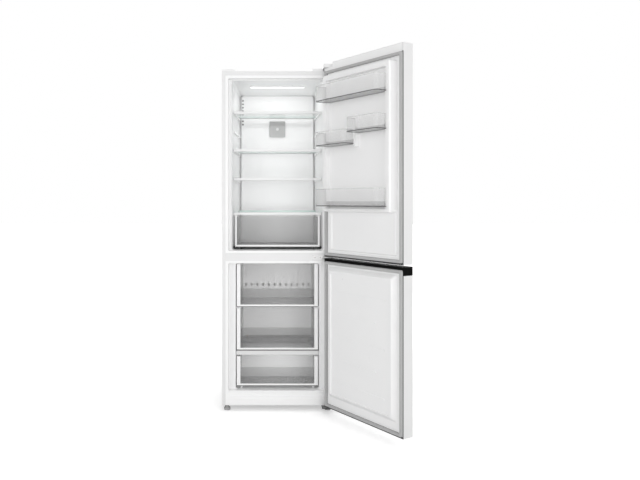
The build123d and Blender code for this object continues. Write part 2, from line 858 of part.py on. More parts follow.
def cap(z_plate, z_plug, boss_range, bore_range):
    """End plate of a door with a plug inside the skin and a bored boss on the hinge line."""
    with BuildPart() as end:
        extrude(door_outline(min(z_plate), 0), amount=abs(z_plate[1] - z_plate[0]))
        extrude(door_outline(min(z_plug), sheet), amount=abs(z_plug[1] - z_plug[0]))
        block(
            (-return_x, return_x),
            (door_inner - liner_wall, door_inner + 1),
            (min(z_plug), max(z_plug)),
            Mode.SUBTRACT,
        )
        boss_y = (door_outer + door_corner, door_inner - liner_wall)
        block((inside_half - cap_boss_width, inside_half), boss_y, boss_range)
        upright(hinge_x, hinge_y, bore_radius, bore_range, Mode.SUBTRACT)
    return end


# Fridge door. Its top corner over the hinge is cut down so that the hinge arm lies inside its height.
door_low, door_high = fridge_door_range
skin_low, skin_high = door_low + cap_plate, door_high - cap_plate
notch_x = half_width - hinge_notch_width
notch_z = door_high - hinge_notch_depth
notch_box = ((notch_x, half_width + 1), (door_outer - 1, door_inner + 1))

fridge_door_skin = door_skin((skin_low, skin_high))
with fridge_door_skin:
    block(*notch_box, (notch_z - cap_plate, door_high + 1), Mode.SUBTRACT)

bottom_cap = cap(
    (door_low, skin_low),
    (skin_low, skin_low + cap_plug),
    (skin_low, skin_low + cap_boss),
    (door_low - 1, door_low + pin_grip + 3),
)

with BuildPart() as top_cap:
    extrude(door_outline(skin_high, 0), amount=cap_plate)
    extrude(door_outline(skin_high - cap_plug, sheet), amount=cap_plug)
    block(
        (-return_x, return_x),
        (door_inner - liner_wall, door_inner + 1),
        (skin_high - cap_plug, skin_high),
        Mode.SUBTRACT,
    )
    block(*notch_box, (notch_z, door_high + 1), Mode.SUBTRACT)
    extrude(door_outline(notch_z - cap_plate, 0), amount=cap_plate)
    block(
        (-half_width - 1, notch_x),
        (door_outer - 1, door_inner + 1),
        (notch_z - cap_plate, skin_high - cap_plug),
        Mode.SUBTRACT,
    )
    block(
        (notch_x - cover_wall, notch_x),
        (door_outer + sheet, door_inner - liner_wall),
        (notch_z - cap_plate, skin_high),
    )
    boss_y = (door_outer + door_corner, door_inner - liner_wall)
    block((inside_half - cap_boss_width, inside_half), boss_y, (notch_z - cap_plate - cap_boss, notch_z))
    upright(hinge_x, hinge_y, bore_radius, (notch_z - pin_grip - 3, notch_z + 1), Mode.SUBTRACT)

fridge_rings = (
    (high_ring_range, high_ring, balcony_recess_range, balcony_recess_floor),
    (low_ring_range, low_ring, lower_panel_range, lower_panel_floor),
)
fridge_door_liner, fridge_foam_room = door_liner((skin_low, skin_high), fridge_rings)
lug_front = door_inner + balcony_recess_floor
lug_outer = high_ring[3] - lug_bite
middle_rib = (balcony_middle - balcony_middle_gap + 2, balcony_middle + balcony_middle_gap - 2)
with fridge_door_liner:
    block(*notch_box, (notch_z - cap_plate, door_high + 1), Mode.SUBTRACT)
    rib_z = (balcony_levels["balcony_left"] - 2 * lug_height, balcony_levels["balcony_right"] + 90.0)
    block(middle_rib, (lug_front - 1, door_inner + ring_height), rib_z)
    for name, ends in (
        ("balcony_top", ((-lug_outer, -1), (lug_outer, 1))),
        ("balcony_left", ((middle_rib[1], -1), (lug_outer, 1))),
        ("balcony_right", ((-lug_outer, -1), (middle_rib[0], 1))),
        ("balcony_bottle", ((-lug_outer, -1), (lug_outer, 1))),
    ):
        lug_top = balcony_levels[name] - seat_gap
        for end, side in ends:
            lug_x = sorted((end, end - side * lug_width))
            block(lug_x, (lug_front - 1, lug_front + lug_depth), (lug_top - lug_height, lug_top))

with BuildPart() as fridge_door_foam:
    extrude(door_outline(skin_low, sheet), amount=skin_high - skin_low)
    block(
        (-inside_half - 1, inside_half + 1),
        (door_inner - liner_wall, door_inner + 1),
        (skin_low - 1, skin_high + 1),
        Mode.SUBTRACT,
    )
    block(*notch_box, (notch_z - cap_plate, door_high + 1), Mode.SUBTRACT)
    add(fridge_foam_room.part)
    add(bottom_cap.part, mode=Mode.SUBTRACT)
    add(top_cap.part, mode=Mode.SUBTRACT)
    upright(hinge_x, hinge_y, bore_radius, (door_low, door_low + pin_grip + 3), Mode.SUBTRACT)
    upright(hinge_x, hinge_y, bore_radius, (notch_z - pin_grip - 3, notch_z), Mode.SUBTRACT)

fridge_door_gasket = gasket(fridge_gasket_range)

# Freezer door, with the black grip profile as its top end
freezer_low, freezer_high = freezer_door_range
grip_bottom = freezer_high - handle_height
grip_front_rear = door_outer + handle_depth
with BuildPart() as freezer_door_handle:
    extrude(door_outline(grip_bottom, 0), amount=handle_height)
    block(
        (-return_x, return_x),
        (grip_front_rear, door_inner + 1),
        (grip_bottom - 1, freezer_high - handle_top_plate),
        Mode.SUBTRACT,
    )
    grip_ceiling = freezer_high - grip_wall
    grip_x = (-half_width + grip_end, inside_half - cap_boss_width - grip_wall)
    block(
        grip_x,
        (door_outer - 1, door_outer + grip_depth),
        (grip_ceiling - grip_height, grip_ceiling),
        Mode.SUBTRACT,
    )
    block(
        grip_x,
        (door_outer + grip_lip, door_outer + grip_depth),
        (grip_bottom + grip_floor, grip_ceiling),
        Mode.SUBTRACT,
    )
    upright(hinge_x, hinge_y, bore_radius, (freezer_high - pin_grip - 3, freezer_high + 1), Mode.SUBTRACT)

freezer_skin_low = freezer_low + cap_plate
freezer_door_skin = door_skin((freezer_skin_low, grip_bottom))
freezer_door_cap = cap(
    (freezer_low, freezer_skin_low),
    (freezer_skin_low, freezer_skin_low + cap_plug),
    (freezer_skin_low, freezer_skin_low + cap_boss),
    (freezer_low - 1, freezer_low + pin_grip + 3),
)
freezer_door_liner, freezer_foam_room = door_liner(
    (freezer_skin_low, freezer_high - handle_top_plate),
    ((freezer_ring_range, freezer_ring, freezer_field_range, freezer_field_floor),),
)
with freezer_door_liner:
    rib_pitch = (freezer_field_range[1] - freezer_field_range[0]) / (rib_count + 0.36)
    for index in range(rib_count):
        level = freezer_field_range[0] + (index + 0.55) * rib_pitch
        length = rib_short if index % 2 else rib_long
        with BuildSketch(front_plane(door_inner + freezer_field_floor - 1)) as rib_face:
            with Locations((0, level)):
                SlotOverall(length, rib_height)
        extrude(rib_face.sketch, amount=-(rib_rise + 1))

with BuildPart() as freezer_door_foam:
    extrude(door_outline(freezer_skin_low, sheet), amount=grip_bottom - freezer_skin_low)
    block(
        (-return_x, return_x),
        (grip_front_rear, door_inner),
        (grip_bottom - 1, freezer_high - handle_top_plate),
    )
    block(
        (-inside_half - 1, inside_half + 1),
        (door_inner - liner_wall, door_inner + 1),
        (freezer_low, freezer_high),
        Mode.SUBTRACT,
    )
    add(freezer_foam_room.part)
    add(freezer_door_cap.part, mode=Mode.SUBTRACT)
    upright(hinge_x, hinge_y, bore_radius, (freezer_low, freezer_low + pin_grip + 3), Mode.SUBTRACT)

freezer_door_gasket = gasket(freezer_gasket_range)

# ---------------------------------------------------------------- door balconies


def balcony(level, height, x_free, x_hinge, back_free, back_hinge):
    """Open tub: a full-height front part over the ring, and a low part between its rims."""
    wall = balcony_wall
    with BuildPart() as tub:
        block((x_free, x_hinge), (balcony_shoulder, balcony_front), (level, level + height))
        corners = tub.edges().filter_by(Axis.Z).group_by(Axis.Y)[-1]
        fillet(corners, balcony_corner)
        block((back_free, back_hinge), (balcony_back, balcony_shoulder), (level, level + balcony_back_height))
        with BuildPart(mode=Mode.PRIVATE) as air:
            block(
                (x_free + wall, x_hinge - wall),
                (balcony_shoulder + wall, balcony_front - wall),
                (level + wall, level + height + 1),
            )
            inner = air.edges().filter_by(Axis.Z).group_by(Axis.Y)[-1]
            fillet(inner, balcony_corner - wall)
        add(air.part, mode=Mode.SUBTRACT)
        block(
            (back_free + wall, back_hinge - wall),
            (balcony_back + wall, balcony_shoulder + wall + 1),
            (level + wall, level + height + 1),
            Mode.SUBTRACT,
        )
    return tub


middle_free = balcony_middle + balcony_middle_gap
middle_hinge_side = balcony_middle - balcony_middle_gap
full_span = (balcony_free_end, balcony_hinge_end, -balcony_back_half, balcony_back_half)
left_span = (middle_free, balcony_hinge_end, middle_free, balcony_back_half)
right_span = (balcony_free_end, middle_hinge_side, -balcony_back_half, middle_hinge_side)
balcony_spans = {
    "balcony_top": full_span,
    "balcony_left": left_span,
    "balcony_right": right_span,
    "balcony_bottle": full_span,
}
balconies = {}
for name, span in balcony_spans.items():
    balconies[name] = balcony(balcony_levels[name], balcony_heights[name], *span)

# ---------------------------------------------------------------- hinges, covers and screws

arm_x = (cover_arm_left + 4.0, half_width - 4.0)
arm_front = cover_arm_front + 8.0
top_arm = (notch_z + 2.0, notch_z + 2.0 + hinge_plate)
plate_x = (cover_left + 8.0, half_width - 4.0)
top_screws = [(x, y) for x in (cover_left + 20.0, half_width - 22.0) for y in (26.0, 72.0)]
with BuildPart() as top_hinge:
    block(plate_x, (8.0, cover_depth - 8.0), (cabinet_top, cabinet_top + hinge_plate))
    block(arm_x, (5.0, 8.0 + hinge_plate), (cabinet_top, top_arm[1]))
    block(arm_x, (arm_front, 8.0 + hinge_plate), top_arm)
    upright(hinge_x, hinge_y, hinge_pin_radius + 0.05, (notch_z, top_arm[1] + 1), Mode.SUBTRACT)
    for x, y in top_screws:
        upright(x, y, screw_radius + screw_clearance, (cabinet_top - 1, cabinet_top + 10), Mode.SUBTRACT)

gap_middle = (freezer_door_range[1] + fridge_door_range[0]) / 2
middle_arm = (gap_middle - hinge_plate / 2, gap_middle + hinge_plate / 2)
middle_plate_z = (freezer_gasket_range[1] + 2.0, fridge_gasket_range[0] - 2.0)
middle_screws = (cover_left + 14.0, cover_left + 44.0)
middle_screw_z = (middle_plate_z[0] + middle_plate_z[1]) / 2
with BuildPart() as middle_hinge:
    block((cover_left, arm_x[1]), (-hinge_plate, 0), middle_plate_z)
    block(arm_x, (arm_front, 0), middle_arm)
    upright(hinge_x, hinge_y, hinge_pin_radius + 0.05, (middle_arm[0] - 1, middle_arm[1] + 1), Mode.SUBTRACT)
    for x in middle_screws:
        frontal(x, middle_screw_z, screw_radius + screw_clearance, (-hinge_plate - 1, 1), Mode.SUBTRACT)

bottom_arm = (cabinet_bottom - hinge_plate, cabinet_bottom)
bottom_screws = ((foot_x - 24.0, foot_y + 32.0), (foot_x + 14.0, foot_y + 32.0))
with BuildPart() as bottom_hinge:
    block((arm_x[0] - 12.0, arm_x[1]), (arm_front, foot_y + 42.0), bottom_arm)
    upright(hinge_x, hinge_y, hinge_pin_radius + 0.05, (bottom_arm[0] - 1, bottom_arm[1] + 1), Mode.SUBTRACT)
    upright(foot_x, foot_y, foot_stud_radius + 1.0, (bottom_arm[0] - 1, bottom_arm[1] + 1), Mode.SUBTRACT)
    for x, y in bottom_screws:
        upright(x, y, screw_radius + screw_clearance, (bottom_arm[0] - 1, bottom_arm[1] + 1), Mode.SUBTRACT)

with BuildPart() as hinge_pins:
    upright(hinge_x, hinge_y, hinge_pin_radius, (notch_z - pin_grip, top_arm[1]))
    upright(hinge_x, hinge_y, hinge_pin_radius + 2, (top_arm[1], top_arm[1] + 2))
    middle_pin = (freezer_door_range[1] - pin_grip, fridge_door_range[0] + pin_grip)
    upright(hinge_x, hinge_y, hinge_pin_radius, middle_pin)
    upright(hinge_x, hinge_y, hinge_pin_radius, (bottom_arm[0], freezer_door_range[0] + pin_grip))
    upright(hinge_x, hinge_y, hinge_pin_radius + 4, (bottom_arm[1], freezer_door_range[0] - seat_gap))
    upright(hinge_x, hinge_y, hinge_pin_radius + 2, (bottom_arm[0] - 2, bottom_arm[0]))

with BuildPart() as top_hinge_cover:
    block((cover_left, half_width), (0, cover_depth), (cabinet_top, cabinet_top + cover_height))
    block((cover_arm_left, half_width), (0, cover_arm_rear), (cabinet_top, cabinet_top + cover_arm_height))
    arm_skirt = top_arm[0]
    block((cover_arm_left, half_width), (cover_arm_front, 0), (arm_skirt, cabinet_top + cover_arm_height))
    fillet(top_hinge_cover.edges().filter_by(Axis.Z).group_by(Axis.Y)[0], 8.0)
    block(
        (cover_left + cover_wall, half_width - cover_wall),
        (cover_wall, cover_depth - cover_wall),
        (cabinet_top - 1, cabinet_top + cover_height - cover_wall),
        Mode.SUBTRACT,
    )
    block(
        (cover_arm_left + cover_wall, half_width - cover_wall),
        (cover_arm_front + cover_wall, cover_arm_rear - cover_wall),
        (cabinet_top - 1, cabinet_top + cover_arm_height - cover_wall),
        Mode.SUBTRACT,
    )

with BuildPart() as top_corner_cover:
    block(
        (-half_width, -half_width + corner_cover_width),
        (0, corner_cover_depth),
        (cabinet_top, cabinet_top + corner_cover_height),
    )
    fillet(top_corner_cover.edges().group_by(Axis.Z)[-1], 2.5)
    block(
        (-half_width + cover_wall, -half_width + corner_cover_width - cover_wall),
        (cover_wall, corner_cover_depth - cover_wall),
        (cabinet_top - 1, cabinet_top + corner_cover_height - cover_wall - 1),
        Mode.SUBTRACT,
    )

with BuildPart() as hinge_screws:
    for x, y in top_screws:
        seat = cabinet_top + hinge_plate
        upright(x, y, screw_head_radius, (seat, seat + screw_head_height))
        upright(x, y, screw_radius, (seat - screw_length, seat))
    for x in middle_screws:
        frontal(x, middle_screw_z, screw_head_radius, (-hinge_plate - screw_head_height, -hinge_plate))
        frontal(x, middle_screw_z, screw_radius, (-hinge_plate, screw_length - hinge_plate))
    for x, y in bottom_screws:
        upright(x, y, screw_head_radius, (bottom_arm[0] - screw_head_height, bottom_arm[0]))
        upright(x, y, screw_radius, (bottom_arm[0], bottom_arm[0] + screw_length))

# Screw holes through the sheets and into the foam
screw_hole = screw_radius + screw_clearance
for target in (outer_wrapper, cabinet_foam):
    with target:
        for x, y in top_screws:
            upright(x, y, screw_hole, (cabinet_top - screw_length, cabinet_top + 1), Mode.SUBTRACT)
for target in (mullion_cover, cabinet_foam):
    with target:
        for x in middle_screws:
            frontal(x, middle_screw_z, screw_hole, (-1, screw_length), Mode.SUBTRACT)
for target in (base_pan, cabinet_foam):
    with target:
        for x, y in bottom_screws:
            upright(x, y, screw_hole, (cabinet_bottom - 1, cabinet_bottom + screw_length), Mode.SUBTRACT)

# ---------------------------------------------------------------- feet, deck and rollers

feet = {}
for name, x in (("front_foot_left", -foot_x), ("front_foot_right", foot_x)):
    with BuildPart() as foot:
        upright(x, foot_y, foot_radius, (0, foot_height))
        chamfer(foot.edges().group_by(Axis.Z)[0], 1.5)
        fillet(foot.edges().group_by(Axis.Z)[-1], 3.0)
        with BuildSketch(Plane.XY.offset(foot_height)):
            with Locations((x, foot_y)):
                RegularPolygon(foot_collar_radius, 6)
        extrude(amount=foot_collar_height)
        upright(x, foot_y, foot_stud_radius, (foot_height, foot_stud_top))
    feet[name] = foot

roller_outer = roller_x + roller_width / 2 + cheek_gap
roller_inner = roller_x - roller_width / 2 - cheek_gap
cheeks = ((roller_inner - cheek_sheet, roller_inner), (roller_outer, roller_outer + cheek_sheet))
with BuildPart() as compressor_deck:
    block((-inside_half, inside_half), (deck_front, deck_rear), (deck_bottom, deck_bottom + deck_sheet))
    for y in (deck_front, deck_rear - deck_sheet):
        block((-inside_half, inside_half), (y, y + deck_sheet), (deck_bottom - deck_lip, deck_bottom))
    for side in (-1, 1):
        for cheek in cheeks:
            cheek_x = sorted(side * x for x in cheek)
            cheek_y = (roller_y - cheek_length / 2, roller_y + cheek_length / 2)
            block(cheek_x, cheek_y, (roller_radius - 7.0, deck_bottom))
            crosswise(
                (cheek_x[0] - 1, cheek_x[1] + 1), roller_y, roller_radius, axle_radius + 0.05, Mode.SUBTRACT
            )

with BuildPart() as roller_axles:
    for side in (-1, 1):
        ends = sorted((side * (roller_inner - cheek_sheet - 1.5), side * (roller_outer + cheek_sheet + 1.5)))
        crosswise(ends, roller_y, roller_radius, axle_radius)
        for end in ends:
            head = (end - 1.0, end + 0.5) if end == ends[0] else (end - 0.5, end + 1.0)
            crosswise(head, roller_y, roller_radius, axle_radius + 2)

rollers = {}
for name, side in (("rear_roller_left", -1), ("rear_roller_right", 1)):
    with BuildPart() as roller:
        span = sorted((side * (roller_x - roller_width / 2), side * (roller_x + roller_width / 2)))
        crosswise(span, roller_y, roller_radius, roller_radius)
        fillet(roller.edges().filter_by(GeomType.CIRCLE), 2.0)
        bore = (span[0] - 1, span[1] + 1)
        crosswise(bore, roller_y, roller_radius, axle_radius + running_gap, Mode.SUBTRACT)
    rollers[name] = roller

# ---------------------------------------------------------------- compressor and its tubes

deck_top = deck_bottom + deck_sheet
grommet_top = deck_top + grommet_height
grommet_places = [(compressor_x + dx, compressor_y + dy) for dx in (-85, 85) for dy in (-60, 60)]
with BuildPart() as compressor_grommets:
    for x, y in grommet_places:
        upright(x, y, grommet_radius, (deck_top, grommet_top))

foot_plate = 3.0
seam_lip = 4.0
seam_z = (grommet_top + compressor_top) / 2 + 12.0
shell_bottom = grommet_top + foot_plate
with BuildPart() as compressor:
    plate_half = (compressor_half_width + 8, compressor_half_depth + 2)
    block(
        (compressor_x - plate_half[0], compressor_x + plate_half[0]),
        (compressor_y - plate_half[1], compressor_y + plate_half[1]),
        (grommet_top, shell_bottom),
    )
    fillet(compressor.edges().filter_by(Axis.Z), 18.0)
    with BuildSketch(Plane.XY.offset(shell_bottom)):
        with Locations((compressor_x, compressor_y)):
            Ellipse(compressor_half_width, compressor_half_depth)
    extrude(amount=compressor_top - shell_bottom)
    fillet(compressor.edges().group_by(Axis.Z)[-1], 34.0)
    with BuildSketch(Plane.XY.offset(seam_z)):
        with Locations((compressor_x, compressor_y)):
            Ellipse(compressor_half_width + seam_lip, compressor_half_depth + seam_lip)
    extrude(amount=5.0)
    terminal_x = compressor_x - compressor_half_width
    block((terminal_x - 20, terminal_x + 12), (compressor_y - 32, compressor_y + 32), (100.0, 140.0))

pan_bottom = compressor_top + seat_gap
with BuildPart() as drain_pan:
    block(
        (compressor_x - 110, compressor_x + 100),
        (compressor_y - 80, compressor_y + 80),
        (pan_bottom, pan_bottom + pan_height),
    )
    fillet(drain_pan.edges().filter_by(Axis.Z), 14.0)
    offset(amount=-2.5, openings=drain_pan.faces().sort_by(Axis.Z)[-1])

with BuildPart() as drain_tube:
    drain_flange = freezer_step_top + seat_gap
    upright(drain_x, coil_y, drain_radius, (pan_bottom + 10, drain_flange))
    upright(drain_x, coil_y, drain_radius + 4, (drain_flange, drain_flange + 2))
    upright(drain_x, coil_y, drain_radius - 2, (pan_bottom + 9, freezer_step_top + 5), Mode.SUBTRACT)


def bent_tube(points, radius, bends):
    """Round tube along straight runs with arcs at the corners."""
    with BuildPart() as tube:
        with BuildLine() as path:
            FilletPolyline(*points, radius=bends)
        with BuildSketch(Plane(origin=path.line @ 0, z_dir=path.line % 0)):
            Circle(radius)
        sweep(path=path.line)
    return tube


# Condenser: one zigzag behind the foam, bonded to the rear panel, down into the bay
condenser_start = -run_half + 20.0
condenser_y = cabinet_depth - seat_gap - condenser_radius
drier_radius = 9.0
zigzag = [(condenser_start, condenser_y, 100.0)]
for index in range(run_count):
    side = -1 if index % 2 == 0 else 1
    level = run_bottom + index * run_pitch
    start_x = condenser_start if index == 0 else side * run_half
    zigzag += [(start_x, condenser_y, level), (-side * run_half, condenser_y, level)]
zigzag.append((-side * run_half, condenser_y, run_bottom + run_count * run_pitch))
condenser = bent_tube(zigzag, condenser_radius, 40.0)

suction_low = 90.0
suction_high = evaporator_range[0] + coil_inset - coil_radius - seat_gap
suction_points = [
    (compressor_x - compressor_half_width, compressor_y, suction_low),
    (suction_x, compressor_y, suction_low),
    (suction_x, coil_y, suction_low),
    (suction_x, coil_y, suction_high),
]
suction = bent_tube(suction_points, tube_radius, 8.0)
with BuildPart() as filter_drier:
    drier_y = condenser_y - condenser_radius - drier_radius
    upright(condenser_start, drier_y, drier_radius, (90.0, 160.0))
refrigerant_tubing = Compound(
    children=[*condenser.part.solids(), *suction.part.solids(), *filter_drier.part.solids()]
)

# ---------------------------------------------------------------- evaporator, heater and fan

coil_low, coil_high = evaporator_range
coil_pitch = (coil_high - coil_low - 2 * coil_inset) / (coil_count - 1)
rear_seat = room_rear - seat_gap
with BuildPart() as evaporator:
    for index in range(fin_count):
        x = -evaporator_half + index * 2 * evaporator_half / (fin_count - 1)
        rear = rear_seat if index in (0, fin_count - 1) else coil_y + fin_half_depth
        block((x - 0.5, x + 0.5), (coil_y - fin_half_depth, rear), evaporator_range)
    coil_end = evaporator_half + coil_overhang
    for index in range(coil_count):
        crosswise((-coil_end, coil_end), coil_y, coil_low + coil_inset + coil_pitch * index, coil_radius)
    for end in (-coil_end, coil_end):
        upright(end, coil_y, coil_radius, (coil_low + coil_inset, coil_high - coil_inset))

heater_radius = 4.0
with BuildPart() as defrost_heater:
    heater_z = coil_low - seat_gap - heater_radius
    crosswise((-evaporator_half, evaporator_half), coil_y, heater_z, heater_radius)

motor_front = fan_y + 9.0
with BuildPart() as fan_motor:
    frontal(0, fan_z, motor_radius, (motor_front, rear_seat))
    frontal(0, fan_z, fan_shaft_radius, (fan_y - fan_hub_half - 2, motor_front))

blade_width = 24.0
blade_count = 5
with BuildPart() as evaporator_fan:
    frontal(0, fan_z, fan_hub_radius, (fan_y - fan_hub_half, fan_y + fan_hub_half))
    for index in range(blade_count):
        spin = Location((0, fan_y, fan_z), (0, 360.0 / blade_count * index, 0))
        pitch = Location((0, 0, fan_hub_radius - 2), (0, 0, 30.0))
        with Locations(spin * pitch):
            blade_align = (Align.CENTER, Align.CENTER, Align.MIN)
            Box(blade_width, 1.6, fan_radius - fan_hub_radius + 2, align=blade_align)
    bore = (fan_y - fan_radius, fan_y + fan_radius)
    frontal(0, fan_z, fan_shaft_radius + running_gap, bore, Mode.SUBTRACT)

# ---------------------------------------------------------------- electrics beside the compressor

control_y = (bay_front + 45.0, cabinet_depth - 25.0)
with BuildPart() as control_box:
    block((-inside_half, -inside_half + control_width), control_y, (deck_top, deck_top + control_height))
    fillet(control_box.edges().filter_by(Axis.Y), 3.0)

inlet_x = -inside_half + control_width / 2
inlet_z = deck_top + 60.0
inlet_front = control_y[1]
inlet_rear = inlet_front + inlet_depth
with BuildPart() as power_inlet:
    block((inlet_x - 15, inlet_x + 15), (inlet_front, inlet_rear), (inlet_z - 12, inlet_z + 12))
    socket_y = (inlet_front + 3, inlet_rear + 1)
    block((inlet_x - 12, inlet_x + 12), socket_y, (inlet_z - 9, inlet_z + 9), Mode.SUBTRACT)
    for offset_x in (-7.0, 0.0, 7.0):
        x = inlet_x + offset_x
        block((x - 1, x + 1), (socket_y[0], inlet_rear - 2), (inlet_z - 2.5, inlet_z + 2.5))

# ---------------------------------------------------------------- writing

door_pieces = (
    fridge_door_skin,
    fridge_door_foam,
    fridge_door_liner,
    fridge_door_gasket,
    freezer_door_skin,
    freezer_door_handle,
    freezer_door_cap,
    freezer_door_foam,
    freezer_door_liner,
    freezer_door_gasket,
    bottom_cap,
    top_cap,
    *balconies.values(),
)
for piece in door_pieces:
    swing_open(piece)
fridge_door_caps = Compound(children=[*bottom_cap.part.solids(), *top_cap.part.solids()])

single_pieces = {
    "outer_wrapper": outer_wrapper,
    "rear_panel": rear_panel,
    "base_pan": base_pan,
    "lower_front_panel": lower_front_panel,
    "mullion_cover": mullion_cover,
    "cabinet_foam": cabinet_foam,
    "fridge_liner": fridge_liner,
    "freezer_liner": freezer_liner,
    "fridge_duct_panel": fridge_duct_panel,
    "air_outlet_cover": air_outlet_cover,
    "led_lamp_lens": led_lamp_lens,
    "freezer_duct_panel": freezer_duct_panel,
    "evaporator": evaporator,
    "defrost_heater": defrost_heater,
    "fan_motor": fan_motor,
    "evaporator_fan": evaporator_fan,
    "drain_tube": drain_tube,
    "drain_pan": drain_pan,
    "compressor_deck": compressor_deck,
    "compressor": compressor,
    "compressor_grommets": compressor_grommets,
    "control_box": control_box,
    "power_inlet": power_inlet,
    "roller_axles": roller_axles,
    "top_hinge": top_hinge,
    "middle_hinge": middle_hinge,
    "bottom_hinge": bottom_hinge,
    "hinge_pins": hinge_pins,
    "hinge_screws": hinge_screws,
    "top_hinge_cover": top_hinge_cover,
    "top_corner_cover": top_corner_cover,
    "crisper_drawer": crisper_drawer,
    "fridge_door_skin": fridge_door_skin,
    "fridge_door_foam": fridge_door_foam,
    "fridge_door_liner": fridge_door_liner,
    "fridge_door_gasket": fridge_door_gasket,
    "freezer_door_skin": freezer_door_skin,
    "freezer_door_handle": freezer_door_handle,
    "freezer_door_cap": freezer_door_cap,
    "freezer_door_foam": freezer_door_foam,
    "freezer_door_liner": freezer_door_liner,
    "freezer_door_gasket": freezer_door_gasket,
    **feet,
    **rollers,
    **freezer_drawers,
    **balconies,
}
for name, piece in single_pieces.items():
    piece.part.label = name
    export_step(piece.part, f"parts/{name}.step")

grouped_pieces = {
    "freezer_shelf": freezer_shelf,
    "refrigerant_tubing": refrigerant_tubing,
    "fridge_door_caps": fridge_door_caps,
    **shelves,
}
for name, group in grouped_pieces.items():
    group.label = name
    export_step(group, f"parts/{name}.step")
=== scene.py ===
import json
from math import cos, pi, radians, sin, tau

import bmesh
import bpy
from mathutils import Matrix, Vector


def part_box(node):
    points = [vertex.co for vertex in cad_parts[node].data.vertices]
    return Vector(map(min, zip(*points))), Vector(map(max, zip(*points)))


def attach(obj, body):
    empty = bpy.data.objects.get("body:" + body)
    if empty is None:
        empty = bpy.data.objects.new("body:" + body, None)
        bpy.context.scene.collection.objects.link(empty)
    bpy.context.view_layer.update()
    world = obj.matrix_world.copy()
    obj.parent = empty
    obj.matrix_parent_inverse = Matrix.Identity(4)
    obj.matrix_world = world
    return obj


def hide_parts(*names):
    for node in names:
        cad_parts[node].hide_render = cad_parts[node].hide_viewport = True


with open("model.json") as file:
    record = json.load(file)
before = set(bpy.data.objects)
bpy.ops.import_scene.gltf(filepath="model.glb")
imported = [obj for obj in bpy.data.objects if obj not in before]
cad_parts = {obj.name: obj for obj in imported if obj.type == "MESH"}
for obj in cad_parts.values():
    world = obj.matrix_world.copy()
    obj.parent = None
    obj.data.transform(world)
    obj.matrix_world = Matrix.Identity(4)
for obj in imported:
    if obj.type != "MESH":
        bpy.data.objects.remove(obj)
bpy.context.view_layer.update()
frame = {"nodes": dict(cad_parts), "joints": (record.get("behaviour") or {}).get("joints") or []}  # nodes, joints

# Bottom freezer refrigerator with both doors open. Sizes are in metres, in the frame of the packed
# model: X to the right, Y to the rear, Z up, the floor at 0 and the cabinet's front flange at Y 0.

nodes = frame["nodes"]

# ---------------------------------------------------------------- camera and lamps
# The camera stands level, 3.6 m before the cabinet and at the height of the fridge room's floor,
# a little left of where the picture is centred, so the lens is shifted and not turned.
# Large soft lamps stand all round, and a small one inside each room lights its back wall.

scene = bpy.context.scene
scene.view_settings.view_transform = "Standard"
camera_data = bpy.data.cameras.new("camera")
camera_data.sensor_width = 36.0
camera_data.lens = 37.8
camera_data.shift_x = 0.0666
camera_data.shift_y = -0.0594
camera = bpy.data.objects.new("camera", camera_data)
camera.location = (0.0, -3.6, 1.118)
camera.rotation_euler = (radians(90), 0.0, 0.0)
scene.collection.objects.link(camera)
scene.camera = camera


def soft_lamp(name, place, aim, width, power, height=None):
    data = bpy.data.lights.new(name, "AREA")
    data.shape = "RECTANGLE"
    data.size = width
    data.size_y = height or width
    data.energy = power
    lamp = bpy.data.objects.new(name, data)
    lamp.location = place
    lamp.rotation_euler = (Vector(aim) - Vector(place)).to_track_quat("-Z", "Y").to_euler()
    scene.collection.objects.link(lamp)


soft_lamp("lamp_front", (0.7, -5.0, 1.2), (0.0, 0.2, 1.0), 3.0, 46.0)
soft_lamp("lamp_front_left", (-2.6, -3.4, 1.6), (0.1, 0.0, 0.95), 2.4, 32.0)
soft_lamp("lamp_front_right", (2.4, -3.8, 1.6), (0.0, 0.2, 0.95), 2.4, 35.0)
soft_lamp("lamp_left", (-3.4, -1.6, 2.0), (0.0, 0.2, 0.9), 2.4, 8.5)
soft_lamp("lamp_right", (3.6, -1.0, 2.2), (0.3, 0.0, 0.9), 2.4, 4.0)
soft_lamp("lamp_top", (0.0, 0.0, 4.4), (0.0, 0.0, 0.0), 3.0, 8.0)
soft_lamp("lamp_rear", (0.8, 4.2, 2.2), (0.0, 0.4, 0.9), 3.0, 66.0)
soft_lamp("lamp_fridge_room", (0.0, 0.14, 1.20), (0.0, 0.5, 1.20), 0.22, 0.44, 0.66)
soft_lamp("lamp_freezer_room", (0.0, 0.08, 0.46), (0.0, 0.5, 0.46), 0.22, 0.28, 0.56)

# ---------------------------------------------------------------- floor and surroundings
# A wide pale studio floor that keeps the soft shadow under the cabinet and runs out to white,
# with even pale light from all round. None of it belongs to the refrigerator.


